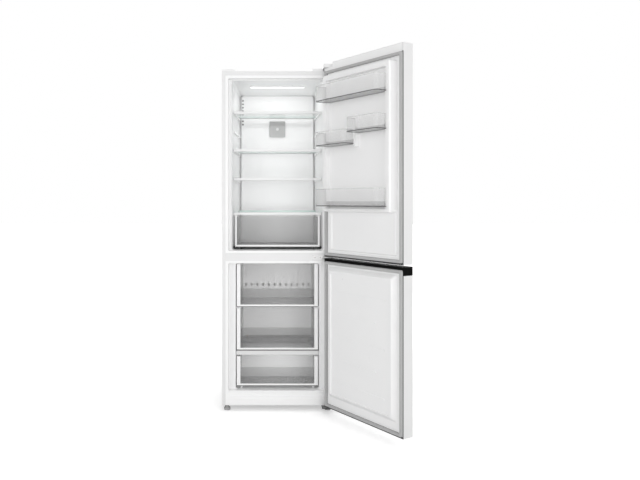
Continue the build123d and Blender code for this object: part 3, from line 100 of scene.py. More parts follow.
class Wire:
    """One value in a finish. Sums written with it add Math nodes to that finish."""

    def __init__(self, finish, socket):
        self.finish = finish
        self.socket = socket

    def sum(self, operation, *values, clamp=False):
        settings = {"operation": operation, "use_clamp": clamp}
        return self.finish.add("ShaderNodeMath", settings, dict(enumerate(values)))

    def __add__(self, other):
        return self.sum("ADD", self, other)

    def __radd__(self, other):
        return self.sum("ADD", other, self)

    def __sub__(self, other):
        return self.sum("SUBTRACT", self, other)

    def __rsub__(self, other):
        return self.sum("SUBTRACT", other, self)

    def __mul__(self, other):
        return self.sum("MULTIPLY", self, other)

    def __rmul__(self, other):
        return self.sum("MULTIPLY", other, self)

    def __abs__(self):
        return self.sum("ABSOLUTE", self)

    def clamped(self):
        return self.sum("ADD", self, 0.0, clamp=True)

    def root(self):
        return self.sum("SQRT", self)

    def wave(self, length):
        """1 on the crests of a wave of that length along this value, and -1 between them."""
        return self.sum("COSINE", self * (tau / length))

    def rise(self, low, high):
        """0 below low and 1 above high, with a smooth step between; it falls where low is the larger."""
        settings = {"interpolation_type": "SMOOTHSTEP"}
        values = {"Value": self, "From Min": low, "From Max": high}
        return self.finish.add("ShaderNodeMapRange", settings, values)

    def along(self, axis):
        """One coordinate of a place."""
        return self.finish.add("ShaderNodeSeparateXYZ", {}, {"Vector": self}, axis)


class Finish:
    """A node material, or the nodes of the surroundings. Only what varies is linked to its shader."""

    def __init__(self, name, constants=None, surroundings=None):
        self.material = surroundings or bpy.data.materials.new(name)
        self.material.use_nodes = True
        self.tree = self.material.node_tree
        self.shader = self.tree.nodes["Background" if surroundings else "Principled BSDF"]
        for socket, value in (constants or {}).items():
            self.shader.inputs[socket].default_value = value

    def add(self, kind, settings, values, output=0):
        node = self.tree.nodes.new(kind)
        for key, value in settings.items():
            setattr(node, key, value)
        for key, value in values.items():
            if isinstance(value, Wire):
                self.tree.links.new(value.socket, node.inputs[key])
            else:
                node.inputs[key].default_value = value
        return Wire(self, node.outputs[output])

    def feed(self, socket, wire):
        self.tree.links.new(wire.socket, self.shader.inputs[socket])

    def place(self):
        """Where the point lies on the object, in metres."""
        return self.add("ShaderNodeTexCoord", {}, {}, "Object")

    def grain(self, place, size, detail=2.0):
        """Even noise from 0 to 1 whose spots are about that many metres wide."""
        values = {"Vector": place, "Scale": 1.0 / size, "Detail": detail}
        return self.add("ShaderNodeTexNoise", {}, values, "Fac")

    def cells(self, place, size):
        """Distance to the middle of cells that are about that many metres wide."""
        return self.add("ShaderNodeTexVoronoi", {}, {"Vector": place, "Scale": 1.0 / size}, "Distance")

    def stretched(self, place, factors):
        settings = {"operation": "MULTIPLY"}
        return self.add("ShaderNodeVectorMath", settings, {0: place, 1: factors})

    def tint(self, mask, first, second):
        """The first colour where mask is 0 and the second where it is 1."""
        values = {0: mask, 6: first, 7: second}
        return self.add("ShaderNodeMix", {"data_type": "RGBA"}, values, 2)

    def bump(self, height, depth, strength=1.0):
        values = {"Height": height, "Distance": depth, "Strength": strength}
        self.feed("Normal", self.add("ShaderNodeBump", {}, values))

    def graze(self, blend):
        """0 where the surface is seen square on, rising to 1 where it is seen edge on."""
        return self.add("ShaderNodeLayerWeight", {}, {"Blend": blend}, "Facing")


def grey(level, warmth=0.0):
    """A colour as it is written for a screen, 0 to 255, turned into the light it gives back."""
    shades = []
    for shift in (warmth, 0.0, -warmth):
        share = (level + shift) / 255.0
        shades.append(share / 12.92 if share < 0.04045 else ((share + 0.055) / 1.055) ** 2.4)
    return (*shades, 1.0)


studio = Finish("studio_floor", {"Roughness": 0.75, "Specular IOR Level": 0.2})
studio_mottle = studio.grain(studio.place(), 1.3)
studio.feed("Base Color", studio.tint(studio_mottle, grey(240), grey(243)))
studio_ray = studio.add("ShaderNodeLightPath", {}, {}, "Is Camera Ray")
studio_far = studio.add("ShaderNodeVectorMath", {"operation": "LENGTH"}, {0: studio.place()}, "Value")
studio_lift = studio_ray * (0.42 + studio_far.rise(1.0, 3.4) * 0.5)
studio_glow = studio.add("ShaderNodeEmission", {}, {"Color": grey(255), "Strength": studio_lift})
studio_skin = Wire(studio, studio.shader.outputs[0])
studio_sum = studio.add("ShaderNodeAddShader", {}, {0: studio_skin, 1: studio_glow})
studio.tree.links.new(studio_sum.socket, studio.tree.nodes["Material Output"].inputs["Surface"])

floor_mesh = bmesh.new()
bmesh.ops.create_grid(floor_mesh, x_segments=8, y_segments=8, size=30.0)
floor_data = bpy.data.meshes.new("studio_floor")
floor_mesh.to_mesh(floor_data)
floor_mesh.free()
floor_data.materials.append(studio.material)
floor = bpy.data.objects.new("studio_floor", floor_data)
scene.collection.objects.link(floor)

# Seen straight, in a gloss or through glass, the surroundings are white; as light they are dimmer
scene.world = bpy.data.worlds.new("studio_light")
sky = Finish("studio_light", {"Color": grey(255), "Strength": 0.47}, scene.world)
sky_straight, sky_glossy, sky_through = (
    sky.add("ShaderNodeLightPath", {}, {}, ray)
    for ray in ("Is Camera Ray", "Is Glossy Ray", "Is Transmission Ray")
)
sky_seen = (sky_straight + sky_glossy + sky_through).clamped()
sky_dim = Wire(sky, sky.shader.outputs[0])
sky_white = sky.add("ShaderNodeBackground", {}, {"Color": grey(255), "Strength": 1.0})
sky_mix = sky.add("ShaderNodeMixShader", {}, {0: sky_seen, 1: sky_dim, 2: sky_white})
sky.tree.links.new(sky_mix.socket, sky.tree.nodes["World Output"].inputs["Surface"])

# ---------------------------------------------------------------- enamelled steel shell
# Two sides and the top are one folded steel sheet, closed behind by a flat steel back and between
# the doors by a steel strip. All are powder coated white, with a faint orange peel.

# Dark grey that paints shade in joints, gaps and under parts
painted_shade_grey = grey(62)  # joints that lie in shade


def enamel(name, light, dark, painted_shade=None):
    paint = Finish(name, {"Coat Roughness": 0.1, "Coat Weight": 0.25})
    place = paint.place()
    cloud = paint.grain(place, 0.4)
    peel = paint.grain(place, 0.0035, 3.0)
    smear = paint.grain(paint.stretched(place, (3.0, 3.0, 0.6)), 0.16, 4.0)
    near_floor = place.along(2).rise(0.16, 0.02) * 0.35
    shade = (cloud * 0.5 + near_floor).clamped()
    colour = paint.tint(shade, light, dark)
    # Where a mask of painted shade is given, that shade is painted dark grey over the colour
    if painted_shade:
        colour = paint.tint(painted_shade(place), colour, painted_shade_grey)
    paint.feed("Base Color", colour)
    paint.feed("Roughness", 0.27 + smear * 0.12)
    paint.bump(peel, 0.00012, 0.35)
    return paint


def soften(piece, width, limit):
    """Round the edges that are sharper than limit, in degrees."""
    soft = piece.modifiers.new("soft_edges", "BEVEL")
    soft.width = width
    soft.segments = 2
    soft.limit_method = "ANGLE"
    soft.angle_limit = radians(limit)
    soft.harden_normals = True


def dress(finish, *names, edge=0.0):
    """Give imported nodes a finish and, where edge is set, a small rounding along sharp edges."""
    for name in names:
        for slot in nodes[name].material_slots:
            slot.material = finish.material
        if edge:
            weld = nodes[name].modifiers.new("weld", "WELD")
            weld.merge_threshold = 0.00001
            soften(nodes[name], edge, 50)


cabinet_paint = enamel("cabinet_enamel", grey(233), grey(227))
dress(cabinet_paint, "outer_wrapper", "rear_panel")
dress(cabinet_paint, "mullion_cover", edge=0.0004)


def settle(mesh, name, body, finish, edge=0.0, sharp=40.0):
    """Turn a worked mesh into a piece of the object that rides on a body."""
    bmesh.ops.recalc_face_normals(mesh, faces=mesh.faces)
    data = bpy.data.meshes.new(name)
    mesh.to_mesh(data)
    mesh.free()
    data.shade_smooth()
    data.set_sharp_from_angle(angle=radians(sharp))
    data.materials.append(finish.material)
    piece = bpy.data.objects.new(name, data)
    scene.collection.objects.link(piece)
    if edge:
        soften(piece, edge, 35)
    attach(piece, body)
    return piece


def join_loops(mesh, loops, round_trip=False):
    """Skin over closed loops of equal length, one after the other, with lids unless they go round."""
    rings = [[mesh.verts.new(point) for point in loop] for loop in loops]
    pairs = list(zip(rings, rings[1:]))
    if round_trip:
        pairs.append((rings[-1], rings[0]))
    else:
        mesh.faces.new(rings[0])
        mesh.faces.new(rings[-1])
    for first, second in pairs:
        count = len(first)
        for index in range(count):
            after = (index + 1) % count
            mesh.faces.new((first[index], first[after], second[after], second[index]))


def pill(centre, length, width, steps=8):
    """Flat points of a slot with round ends, its length along the first direction."""
    points = []
    reach = (length - width) / 2
    for end, start in ((1, -90), (-1, 90)):
        for step in range(steps + 1):
            turn = radians(start + 180 * step / steps)
            across = centre[0] + end * reach + width / 2 * cos(turn)
            points.append((across, centre[1] + width / 2 * sin(turn)))
    return points


# Pressed beads that stiffen the flat back, and the screws round its edge
back_low, back_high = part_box("rear_panel")
back_y = back_high.y
beads = bmesh.new()
for bead_z in (0.42, 0.62, 1.02, 1.22, 1.62):
    loops = []
    for inset, height in ((0.0, -0.0002), (0.0022, 0.0009), (0.0052, 0.0016), (0.008, 0.0018)):
        outline = pill((0.0, bead_z), 0.44 - 2 * inset, 0.022 - 2 * inset)
        loops.append([(x, back_y + height, z) for x, z in outline])
    join_loops(beads, loops)
settle(beads, "rear_panel_beads", "cabinet", cabinet_paint)


def mottled(name, constants, light, dark, spot, detail, smooth, rough):
    """Finish of one stuff whose colour and gloss change together from spot to spot."""
    finish = Finish(name, constants)
    cloud = finish.grain(finish.place(), spot, detail)
    finish.feed("Base Color", finish.tint(cloud, light, dark))
    finish.feed("Roughness", smooth + cloud * (rough - smooth))
    return finish


screw_steel = mottled("zinc_screws", {"Metallic": 1.0}, grey(182, 2), grey(204), 0.003, 3.0, 0.3, 0.5)


def turned(mesh, centre, direction, profile, steps=24):
    """Skin a profile of (radius, height) pairs round an axis through centre."""
    axis = Vector(direction).normalized()
    side = axis.orthogonal().normalized()
    other = axis.cross(side)
    loops = []
    for radius, height in profile:
        loop = []
        for step in range(steps):
            angle = tau * step / steps
            spoke = side * (radius * cos(angle)) + other * (radius * sin(angle))
            loop.append(Vector(centre) + axis * height + spoke)
        loops.append(loop)
    join_loops(mesh, loops)


def slab(mesh, low, high):
    """Block between two corners, to be rounded by the piece's own edge."""
    made = bmesh.ops.create_cube(mesh, size=1.0)["verts"]
    size = Vector(high) - Vector(low)
    bmesh.ops.scale(mesh, vec=size, verts=made)
    bmesh.ops.translate(mesh, vec=(Vector(low) + Vector(high)) / 2, verts=made)
    return made


def pan_head(mesh, seat, direction, radius):
    """Low domed screw head with a cross recess sunk in its top."""
    dome = ((1.0, 0.0), (1.0, 0.25), (0.93, 0.45), (0.72, 0.62), (0.5, 0.68), (0.34, 0.3), (0.05, 0.3))
    turned(mesh, seat, direction, [(radius * wide, radius * tall) for wide, tall in dome], 16)
    axis = Vector(direction).normalized()
    across = axis.orthogonal().normalized()
    for spoke in (across, axis.cross(across)):
        reach, half = radius * 0.52, radius * 0.1
        bar = slab(mesh, (-reach, -half, radius * 0.3), (reach, half, radius * 0.7))
        frame_of_bar = Matrix((spoke, axis.cross(spoke), axis)).transposed().to_4x4()
        bmesh.ops.transform(mesh, matrix=Matrix.Translation(Vector(seat)) @ frame_of_bar, verts=bar)


side_screws = [(x, z) for z in (0.27, 0.66, 1.05, 1.44, 1.80) for x in (-0.288, 0.288)]
end_screws = [(x, z) for x in (-0.19, -0.063, 0.063, 0.19) for z in (back_low.z + 0.01, back_high.z - 0.01)]
back_screws = bmesh.new()
for screw_x, screw_z in side_screws + end_screws:
    pan_head(back_screws, (screw_x, back_y, screw_z), (0, 1, 0), 0.0042)
settle(back_screws, "rear_panel_screws", "cabinet", screw_steel)

# ---------------------------------------------------------------- base of the cabinet
# The foam rests on a folded steel pan, zinc plated, and a white strip with three fine ridges closes
# the front under the freezer. The foam itself shows nowhere once the back is on.

base_steel = Finish("base_zinc", {"Metallic": 0.85})
base_place = base_steel.place()
base_flakes = base_steel.cells(base_place, 0.012)
base_cloud = base_steel.grain(base_place, 0.06, 4.0)
base_steel.feed("Base Color", base_steel.tint(base_flakes * 0.5 + base_cloud * 0.5, grey(172), grey(208)))
base_steel.feed("Roughness", 0.34 + base_cloud * 0.22)
base_steel.bump(base_flakes, 0.00008, 0.3)
dress(base_steel, "base_pan", "compressor_deck")

strip_plastic = Finish("strip_plastic", {"Coat Weight": 0.1})
strip_place = strip_plastic.place()
strip_cloud = strip_plastic.grain(strip_place, 0.2)
strip_scuff = strip_plastic.grain(strip_place, 0.004, 4.0)
# Darker towards the bottom of the strip
strip_darker_low = strip_place.along(2).rise(0.07, 0.03) * 0.3
strip_plastic.feed("Base Color", strip_plastic.tint(strip_cloud * 0.5 + strip_darker_low, grey(250), grey(240)))
strip_plastic.feed("Roughness", 0.38 + strip_scuff * 0.14)
strip_plastic.bump(strip_scuff, 0.0001, 0.3)
dress(strip_plastic, "lower_front_panel", edge=0.0004)

# The ridges run between the legs of the closed door's gasket and flatten out at their ends
ridges = bmesh.new()
for ridge_z in (0.062, 0.080, 0.098):
    loops = []
    for ridge_x, tall in ((-0.262, 0.0006), (-0.259, 0.0018), (0.249, 0.0018), (0.252, 0.0006)):
        loops.append([
            (ridge_x, 0.0002, ridge_z - 0.002),
            (ridge_x, -tall * 0.7, ridge_z - 0.0014),
            (ridge_x, -tall, ridge_z),
            (ridge_x, -tall * 0.7, ridge_z + 0.0014),
            (ridge_x, 0.0002, ridge_z + 0.002),
        ])
    join_loops(ridges, loops)
settle(ridges, "lower_panel_ridges", "cabinet", strip_plastic)

foam_fill = Finish("rigid_foam", {"Roughness": 0.95, "Specular IOR Level": 0.15})
foam_place = foam_fill.place()
foam_cloud = foam_fill.grain(foam_place, 0.03)
foam_fill.feed("Base Color", foam_fill.tint(foam_cloud, grey(232, 9), grey(216, 12)))
foam_fill.bump(foam_fill.cells(foam_place, 1 / 900), 0.0006, 0.5)
dress(foam_fill, "cabinet_foam", "fridge_door_foam", "freezer_door_foam")

# ---------------------------------------------------------------- inner liners
# Each room is one sheet of white polystyrene, drawn hot over a mould, so its corners are round and
# its gloss is uneven. Shelf and drawer rails are drawn with it.


def moulded(name, light, dark, rough=0.24, grain_size=0.0009, painted_shade=None):
    plastic = Finish(name, {"Coat Weight": 0.15, "Coat Roughness": 0.15, "IOR": 1.52})
    place = plastic.place()
    cloud = plastic.grain(place, 0.22)
    pull = plastic.grain(plastic.stretched(place, (1.0, 1.0, 0.4)), 0.03, 3.0)
    fine = plastic.grain(place, grain_size, 2.0)
    colour = plastic.tint(cloud, light, dark)
    # Where a mask of painted shade is given, that shade is painted dark grey over the colour
    if painted_shade:
        colour = plastic.tint(painted_shade(place), colour, painted_shade_grey)
    plastic.feed("Base Color", colour)
    plastic.feed("Roughness", rough + pull * 0.14)
    plastic.bump(pull * 0.8 + fine * 0.2, 0.0003, 0.22)
    return plastic


liner_plastic = moulded("liner_polystyrene", grey(249), grey(245))
dress(liner_plastic, "freezer_liner")

# A painted shadow: the floor under the crisper is coloured dark grey there
crisper_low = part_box("crisper_drawer")[0]


def shadow_under_crisper(place):
    below = place.along(2).rise(crisper_low.z + 0.001, crisper_low.z - 0.001)
    return below * place.along(1).rise(crisper_low.y - 0.006, crisper_low.y + 0.001)


fridge_sheet = moulded("fridge_polystyrene", grey(249), grey(245), painted_shade=shadow_under_crisper)
dress(fridge_sheet, "fridge_liner")

# ---------------------------------------------------------------- fridge room's back wall
# A thin moulded panel hides the air duct. It has a column of outlet slots near its left edge and,
# before the round air opening, a grey cover plate with a light knob in the middle.

panel_plastic = moulded("duct_panel_plastic", grey(248), grey(244), 0.34, 0.0006)
dress(panel_plastic, "fridge_duct_panel", edge=0.0008)

# The freezer's panel is alike; its top edge lies in the shade of the room's ceiling
freezer_panel_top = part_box("freezer_duct_panel")[1].z


def under_ceiling(place):
    return place.along(2).rise(freezer_panel_top - 0.034, freezer_panel_top - 0.014) * 0.6


freezer_panel_plastic = moulded("freezer_panel_plastic", grey(248), grey(244), 0.34, 0.0006, under_ceiling)
dress(freezer_panel_plastic, "freezer_duct_panel", edge=0.0008)

# A dark fill that paints the shadow inside openings that are not cut: the duct panel's slots and the screw
# recesses
painted_shadow_fill = Finish("painted_recess_shadow", {"Roughness": 0.6, "Specular IOR Level": 0.3})
shade_cloud = painted_shadow_fill.grain(painted_shadow_fill.place(), 0.004)
painted_shadow_fill.feed("Base Color", painted_shadow_fill.tint(shade_cloud, grey(44), grey(66)))

panel_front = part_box("fridge_duct_panel")[0].y
slot_x = -0.2075
slot_count = 8
slots = bmesh.new()
louvres = bmesh.new()
for number in range(slot_count):
    slot_z = 1.584 + number * 0.0204
    outline = pill((slot_x, slot_z), 0.0095, 0.0090, 5)
    join_loops(slots, [[(x, panel_front - depth, z) for x, z in outline] for depth in (-0.0004, 0.0002)])
    hood = []
    for inset, depth in ((0.0, -0.0002), (0.0004, 0.0012), (0.0012, 0.0016)):
        outline = pill((slot_x, slot_z + 0.0058), 0.012 - inset * 2, 0.0040 - inset * 2, 5)
        hood.append([(x, panel_front - depth, z) for x, z in outline])
    join_loops(louvres, hood)
settle(slots, "duct_panel_slots", "cabinet", painted_shadow_fill)
settle(louvres, "duct_panel_louvres", "cabinet", panel_plastic)

cover_low, cover_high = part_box("air_outlet_cover")
cover_middle = (cover_low + cover_high) / 2
cover_plastic = Finish("outlet_cover_plastic", {"Coat Weight": 0.1})
cover_place = cover_plastic.place()
cover_from_x = cover_place.along(0) - cover_middle.x
cover_from_z = cover_place.along(2) - cover_middle.z
cover_far = (cover_from_x * cover_from_x + cover_from_z * cover_from_z).root()
cover_knob = cover_far.rise(0.0092, 0.0088)
cover_rings = cover_far.wave(0.007) * cover_far.rise(0.014, 0.015) * cover_far.rise(0.041, 0.040)
cover_cloud = cover_plastic.grain(cover_place, 0.05)
cover_body = cover_plastic.tint(cover_cloud, grey(176), grey(186))
cover_plastic.feed("Base Color", cover_plastic.tint(cover_knob, cover_body, grey(226)))
cover_plastic.feed("Roughness", 0.38 + cover_cloud * 0.1)
cover_plastic.bump(cover_rings, 0.0004, 0.5)
dress(cover_plastic, "air_outlet_cover", edge=0.0008)

# ---------------------------------------------------------------- ceiling lamp
# A frosted strip lens, clipped into the ceiling of the fridge room, with a row of small light
# sources behind it. A thin white frame goes round it.

lens_low, lens_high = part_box("led_lamp_lens")
lens_plastic = Finish("lamp_lens", {"Roughness": 0.4, "Emission Strength": 1.25})
lens_place = lens_plastic.place()
lens_dots = lens_place.along(0).wave(0.0208) * 0.5 + 0.5
lens_frost = lens_plastic.grain(lens_place, 0.0015)
lens_plastic.feed("Base Color", lens_plastic.tint(lens_frost, grey(244), grey(250)))
lens_plastic.feed("Emission Color", lens_plastic.tint(lens_dots, grey(226), grey(252)))
lens_plastic.bump(lens_place.along(1).wave(0.0024), 0.0002, 0.4)
dress(lens_plastic, "led_lamp_lens")


def frame_loop(low, high, corner):
    """Flat points of a rectangle with round corners."""
    steps = 5
    points = []
    corners = (
        (high[0] - corner, high[1] - corner, 0),
        (low[0] + corner, high[1] - corner, 90),
        (low[0] + corner, low[1] + corner, 180),
        (high[0] - corner, low[1] + corner, 270),
    )
    for middle_x, middle_y, start in corners:
        for step in range(steps + 1):
            turn = radians(start + 90 * step / steps)
            points.append((middle_x + corner * cos(turn), middle_y + corner * sin(turn)))
    return points


ceiling_fall = 0.0463  # of the ceiling towards the rear, for each metre
lamp_frame = bmesh.new()
loops = []
for reach, drop in ((-0.0005, 0.0), (-0.0005, 0.0062), (0.0035, 0.0052), (0.005, 0.0)):
    near = (lens_low.x - reach, lens_low.y - reach)
    far = (lens_high.x + reach, lens_high.y + reach)
    top_z = lens_high.z - drop + 0.0002
    outline = frame_loop(near, far, 0.004 + reach)
    loops.append([(x, y, top_z - ceiling_fall * (y - lens_low.y)) for x, y in outline])
join_loops(lamp_frame, loops, round_trip=True)
settle(lamp_frame, "lamp_frame", "cabinet", panel_plastic)

# The light that the strip gives, tilted a little towards the rear
room_light = Vector((0.0, (lens_low.y + lens_high.y) / 2, lens_low.z - 0.004))
room_aim = room_light + Vector((0.0, sin(radians(14)), -cos(radians(14))))
soft_lamp("room_light", room_light, room_aim, 0.30, 0.36, 0.02)

# ---------------------------------------------------------------- glass shelves
# A pane of toughened glass with a white strip moulded on along its front and its rear edge. The
# strips stiffen it, and the side edges of the pane are bare, ground and a little green.


def shelf_finish(name, strip_front, strip_rear, strip_light, shadow_seam=9.0):
    shelf = Finish(name, {"IOR": 1.5})
    place = shelf.place()
    depth = place.along(1)
    # A thin dark band at the top of the front strip's face, up to the height given, paints the shadow under the
    # drawer above; the default height leaves it out
    shade = place.along(2).rise(shadow_seam - 0.0008, shadow_seam) * depth.rise(strip_front - 0.012, strip_front - 0.014)
    facing_up = abs(shelf.add("ShaderNodeNewGeometry", {}, {}, "Normal").along(2))
    rim = facing_up.rise(0.6, 0.3)
    strip = (depth.rise(strip_front + 0.0003, strip_front - 0.0003)
             + depth.rise(strip_rear - 0.0003, strip_rear + 0.0003)).clamped()
    smear = shelf.grain(shelf.stretched(place, (1.0, 2.0, 1.0)), 0.05, 4.0)
    glass_tone = shelf.tint(rim, (0.83, 0.88, 0.87, 1.0), (0.42, 0.66, 0.58, 1.0))
    shelf.feed("Base Color", shelf.tint(strip, glass_tone, shelf.tint(shade, strip_light, grey(120))))
    seen_through = 0.10 + shelf.graze(0.35) * 0.30 + rim * 0.4
    shelf.feed("Alpha", (seen_through + strip).clamped())
    shelf.feed("Roughness", 0.03 + smear * 0.03 + strip * 0.27)
    return shelf


fridge_shelf = shelf_finish("fridge_shelf", 0.122, 0.388, grey(244))
shelf_names = ("top_shelf", "upper_shelf", "lower_shelf", "crisper_shelf")
dress(fridge_shelf, *shelf_names, edge=0.0005)
low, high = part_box("freezer_shelf")
freezer_shelf = shelf_finish("freezer_shelf", low.y + 0.018, high.y - 0.012, grey(226), high.z - 0.0035)
dress(freezer_shelf, "freezer_shelf", edge=0.0005)

# Two fine ridges along each front strip keep things from sliding off
for shelf_name in shelf_names:
    strip_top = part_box(shelf_name)[1].z - 0.008
    grips = bmesh.new()
    for grip_y in (0.1105, 0.1155):
        loops = []
        for grip_x, tall in ((-0.225, 0.0002), (-0.222, 0.0011), (0.222, 0.0011), (0.225, 0.0002)):
            loops.append([
                (grip_x, grip_y - 0.001, strip_top - 0.0002),
                (grip_x, grip_y - 0.0006, strip_top + tall * 0.8),
                (grip_x, grip_y + 0.0006, strip_top + tall * 0.8),
                (grip_x, grip_y + 0.001, strip_top - 0.0002),
            ])
        join_loops(grips, loops)
    settle(grips, f"{shelf_name}_grips", shelf_name, fridge_shelf)

# ---------------------------------------------------------------- drawers
# Each drawer is one clear polystyrene tub. White bars are moulded onto the front at both sides and
# along the bottom. The freezer's tubs are milky towards the back.


def tub_finish(name, bar_rear, clear, wall, wall_alpha, lows=()):
    tub = Finish(name, {"IOR": 1.55})
    place = tub.place()
    depth = place.along(1)
    bar = depth.rise(bar_rear - 0.0002, bar_rear - 0.0008)
    behind = depth.rise(bar_rear + 0.0042, bar_rear + 0.0052)
    edge_on = tub.graze(0.3)
    flow = tub.grain(tub.stretched(place, (1.0, 1.0, 3.0)), 0.08, 3.0)
    scuff = tub.grain(place, 0.003, 4.0)
    # Walls behind the front turn dark grey where they are seen edge on, a painted shade
    body = tub.tint(edge_on * behind, tub.tint(behind, clear, wall), grey(96))
    height = place.along(2)
    # The lowest few millimetres of each drawer's white bars are painted dark, for the shadow in the gap under
    # the drawer
    shadow_seam = height * 0.0
    for low in lows:
        shadow_seam = shadow_seam + height.rise(low - 0.002, low - 0.001) * height.rise(low + 0.0034, low + 0.0026)
    tub.feed("Base Color", tub.tint(shadow_seam * bar, tub.tint(bar, body, grey(249)), painted_shade_grey))
    thin = 0.04 + edge_on * (behind * 0.3 + 0.3) + behind * wall_alpha + flow * 0.04
    tub.feed("Alpha", (thin + bar).clamped())
    tub.feed("Roughness", 0.08 + scuff * 0.05 + bar * 0.2)
    tub.bump(flow, 0.0006, 0.2)
    return tub


crisper_tub = tub_finish("crisper_tub", 0.108, grey(236), grey(240), 0.04)
dress(crisper_tub, "crisper_drawer", edge=0.0006)
drawer_names = ("freezer_drawer_top", "freezer_drawer_middle", "freezer_drawer_bottom")
drawer_lows = [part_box(drawer_name)[0].z for drawer_name in drawer_names]
freezer_tub = tub_finish("freezer_tub", 0.048, grey(238), grey(246), 0.10, drawer_lows)
dress(freezer_tub, *drawer_names, edge=0.0006)

# ---------------------------------------------------------------- cooling coil, heater and fan
# Behind the freezer's back wall: an aluminium tube coil pressed through thin fins, a heater rod
# under it for defrosting, and a small plastic fan on its motor's shaft.

coil_metal = mottled("coil_aluminium", {"Metallic": 1.0}, grey(196), grey(216), 0.02, 4.0, 0.32, 0.52)
dress(coil_metal, "evaporator", "defrost_heater")

# Fins of thin sheet, a little wavy, each a strip with four corners
coil_low, coil_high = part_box("evaporator")
fin_total = 58
fin_rows = 10
fin_half, fin_front, fin_rear = 0.00012, 0.4272, 0.4508
fin_corners = ((-fin_half, fin_front), (fin_half, fin_front), (fin_half, fin_rear), (-fin_half, fin_rear))
fins = bmesh.new()
for number in range(fin_total):
    fin_x = coil_low.x + 0.018 + (coil_high.x - coil_low.x - 0.036) * number / (fin_total - 1)
    rows = []
    for row in range(fin_rows + 1):
        share = row / fin_rows
        lean = 0.0009 * sin(share * pi * 5)
        height = coil_low.z + 0.004 + (coil_high.z - coil_low.z - 0.008) * share
        rows.append([(fin_x + lean + side, depth, height) for side, depth in fin_corners])
    join_loops(fins, rows)
settle(fins, "evaporator_fins", "cabinet", coil_metal)


def grained(name, constants, light, dark, spot, detail, fine, smooth, rough, relief):
    """Plastic whose colour drifts over wide spots, with a fine grain in its gloss and its surface."""
    finish = Finish(name, constants)
    place = finish.place()
    grain = finish.grain(place, fine, 3.0)
    finish.feed("Base Color", finish.tint(finish.grain(place, spot, detail), light, dark))
    finish.feed("Roughness", smooth + grain * (rough - smooth))
    finish.bump(grain, relief, 0.5)
    return finish


black_plastic = grained(
    "black_plastic", {"Coat Weight": 0.0}, grey(34), grey(46), 0.06, 2.0, 0.0009, 0.42, 0.58, 0.0001
)
dress(black_plastic, "fan_motor", "power_inlet", edge=0.0005)

fan_plastic = moulded("fan_plastic", grey(236), grey(228), 0.3)
fan_low, fan_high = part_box("evaporator_fan")
fan_middle = (fan_low + fan_high) / 2
wheel = bmesh.new()
hub = (
    (0.0022, -0.006), (0.0095, -0.006), (0.0115, -0.0045), (0.012, 0.005), (0.0105, 0.005), (0.0022, 0.005),
)
turned(wheel, fan_middle, (0, 1, 0), hub, 32)
blade_total = 5
for blade in range(blade_total):
    start = tau * blade / blade_total
    sections = []
    for share in (0.0, 0.25, 0.5, 0.75, 1.0):
        radius = 0.0105 + 0.0365 * share
        spread = 0.42 + 0.16 * sin(share * pi)
        pitch = 0.0052 - 0.0016 * share
        upper, lower = [], []
        for step in range(7):
            along = step / 6 * 2 - 1
            angle = start + share * 0.35 + along * spread
            rise_y = along * pitch + 0.0012 * (1 - along * along)
            spot = Vector((radius * cos(angle), rise_y, radius * sin(angle))) + fan_middle
            upper.append(spot + Vector((0, 0.0006, 0)))
            lower.append(spot - Vector((0, 0.0006, 0)))
        sections.append(upper + lower[::-1])
    join_loops(wheel, sections)
fan_piece = settle(wheel, "fan_wheel", "evaporator_fan", fan_plastic)
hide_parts("evaporator_fan")

# ---------------------------------------------------------------- drain
# Melt water from the coil runs down a grey plastic tube, through the foam, into a black moulded
# pan. The pan stands on top of the compressor, whose warmth dries it up.

drain_plastic = mottled("drain_plastic", {"Coat Weight": 0.0}, grey(150), grey(168), 0.02, 3.0, 0.4, 0.55)
dress(drain_plastic, "drain_tube")

pan_plastic = Finish("pan_plastic", {"Coat Weight": 0.0})
pan_place = pan_plastic.place()
pan_cloud = pan_plastic.grain(pan_place, 0.05, 4.0)
pan_dust = pan_plastic.grain(pan_place, 0.004, 4.0)
pan_plastic.feed("Base Color", pan_plastic.tint(pan_cloud * 0.6 + pan_dust * 0.4, grey(58), grey(84)))
pan_plastic.feed("Roughness", 0.45 + pan_dust * 0.2)
pan_plastic.bump(pan_dust, 0.0001, 0.4)
dress(pan_plastic, "drain_pan", edge=0.0008)

# ---------------------------------------------------------------- compressor
# Two deep drawn steel cups welded together round a raised seam, enamelled black, on a pressed
# foot plate with four rubber grommets. A clip holds the cover over its terminals.

black_enamel = Finish("black_enamel", {"Coat Weight": 0.3, "Coat Roughness": 0.2})
shell_place = black_enamel.place()
shell_peel = black_enamel.grain(shell_place, 0.004, 3.0)
shell_cloud = black_enamel.grain(shell_place, 0.07)
black_enamel.feed("Base Color", black_enamel.tint(shell_cloud, grey(30), grey(44)))
black_enamel.feed("Roughness", 0.3 + shell_cloud * 0.15)
black_enamel.bump(shell_peel, 0.0002, 0.5)

shell_x, shell_y = 0.120, 0.420
shell_half_width, shell_half_depth = 0.092, 0.070
plate_low = 0.060


def oval(share, height):
    """Points round the shell at one height, where it has that share of its full width and depth."""
    steps = 48
    points = []
    for step in range(steps):
        turn = tau * step / steps
        x = shell_x + shell_half_width * share * cos(turn)
        points.append((x, shell_y + shell_half_depth * share * sin(turn), height))
    return points


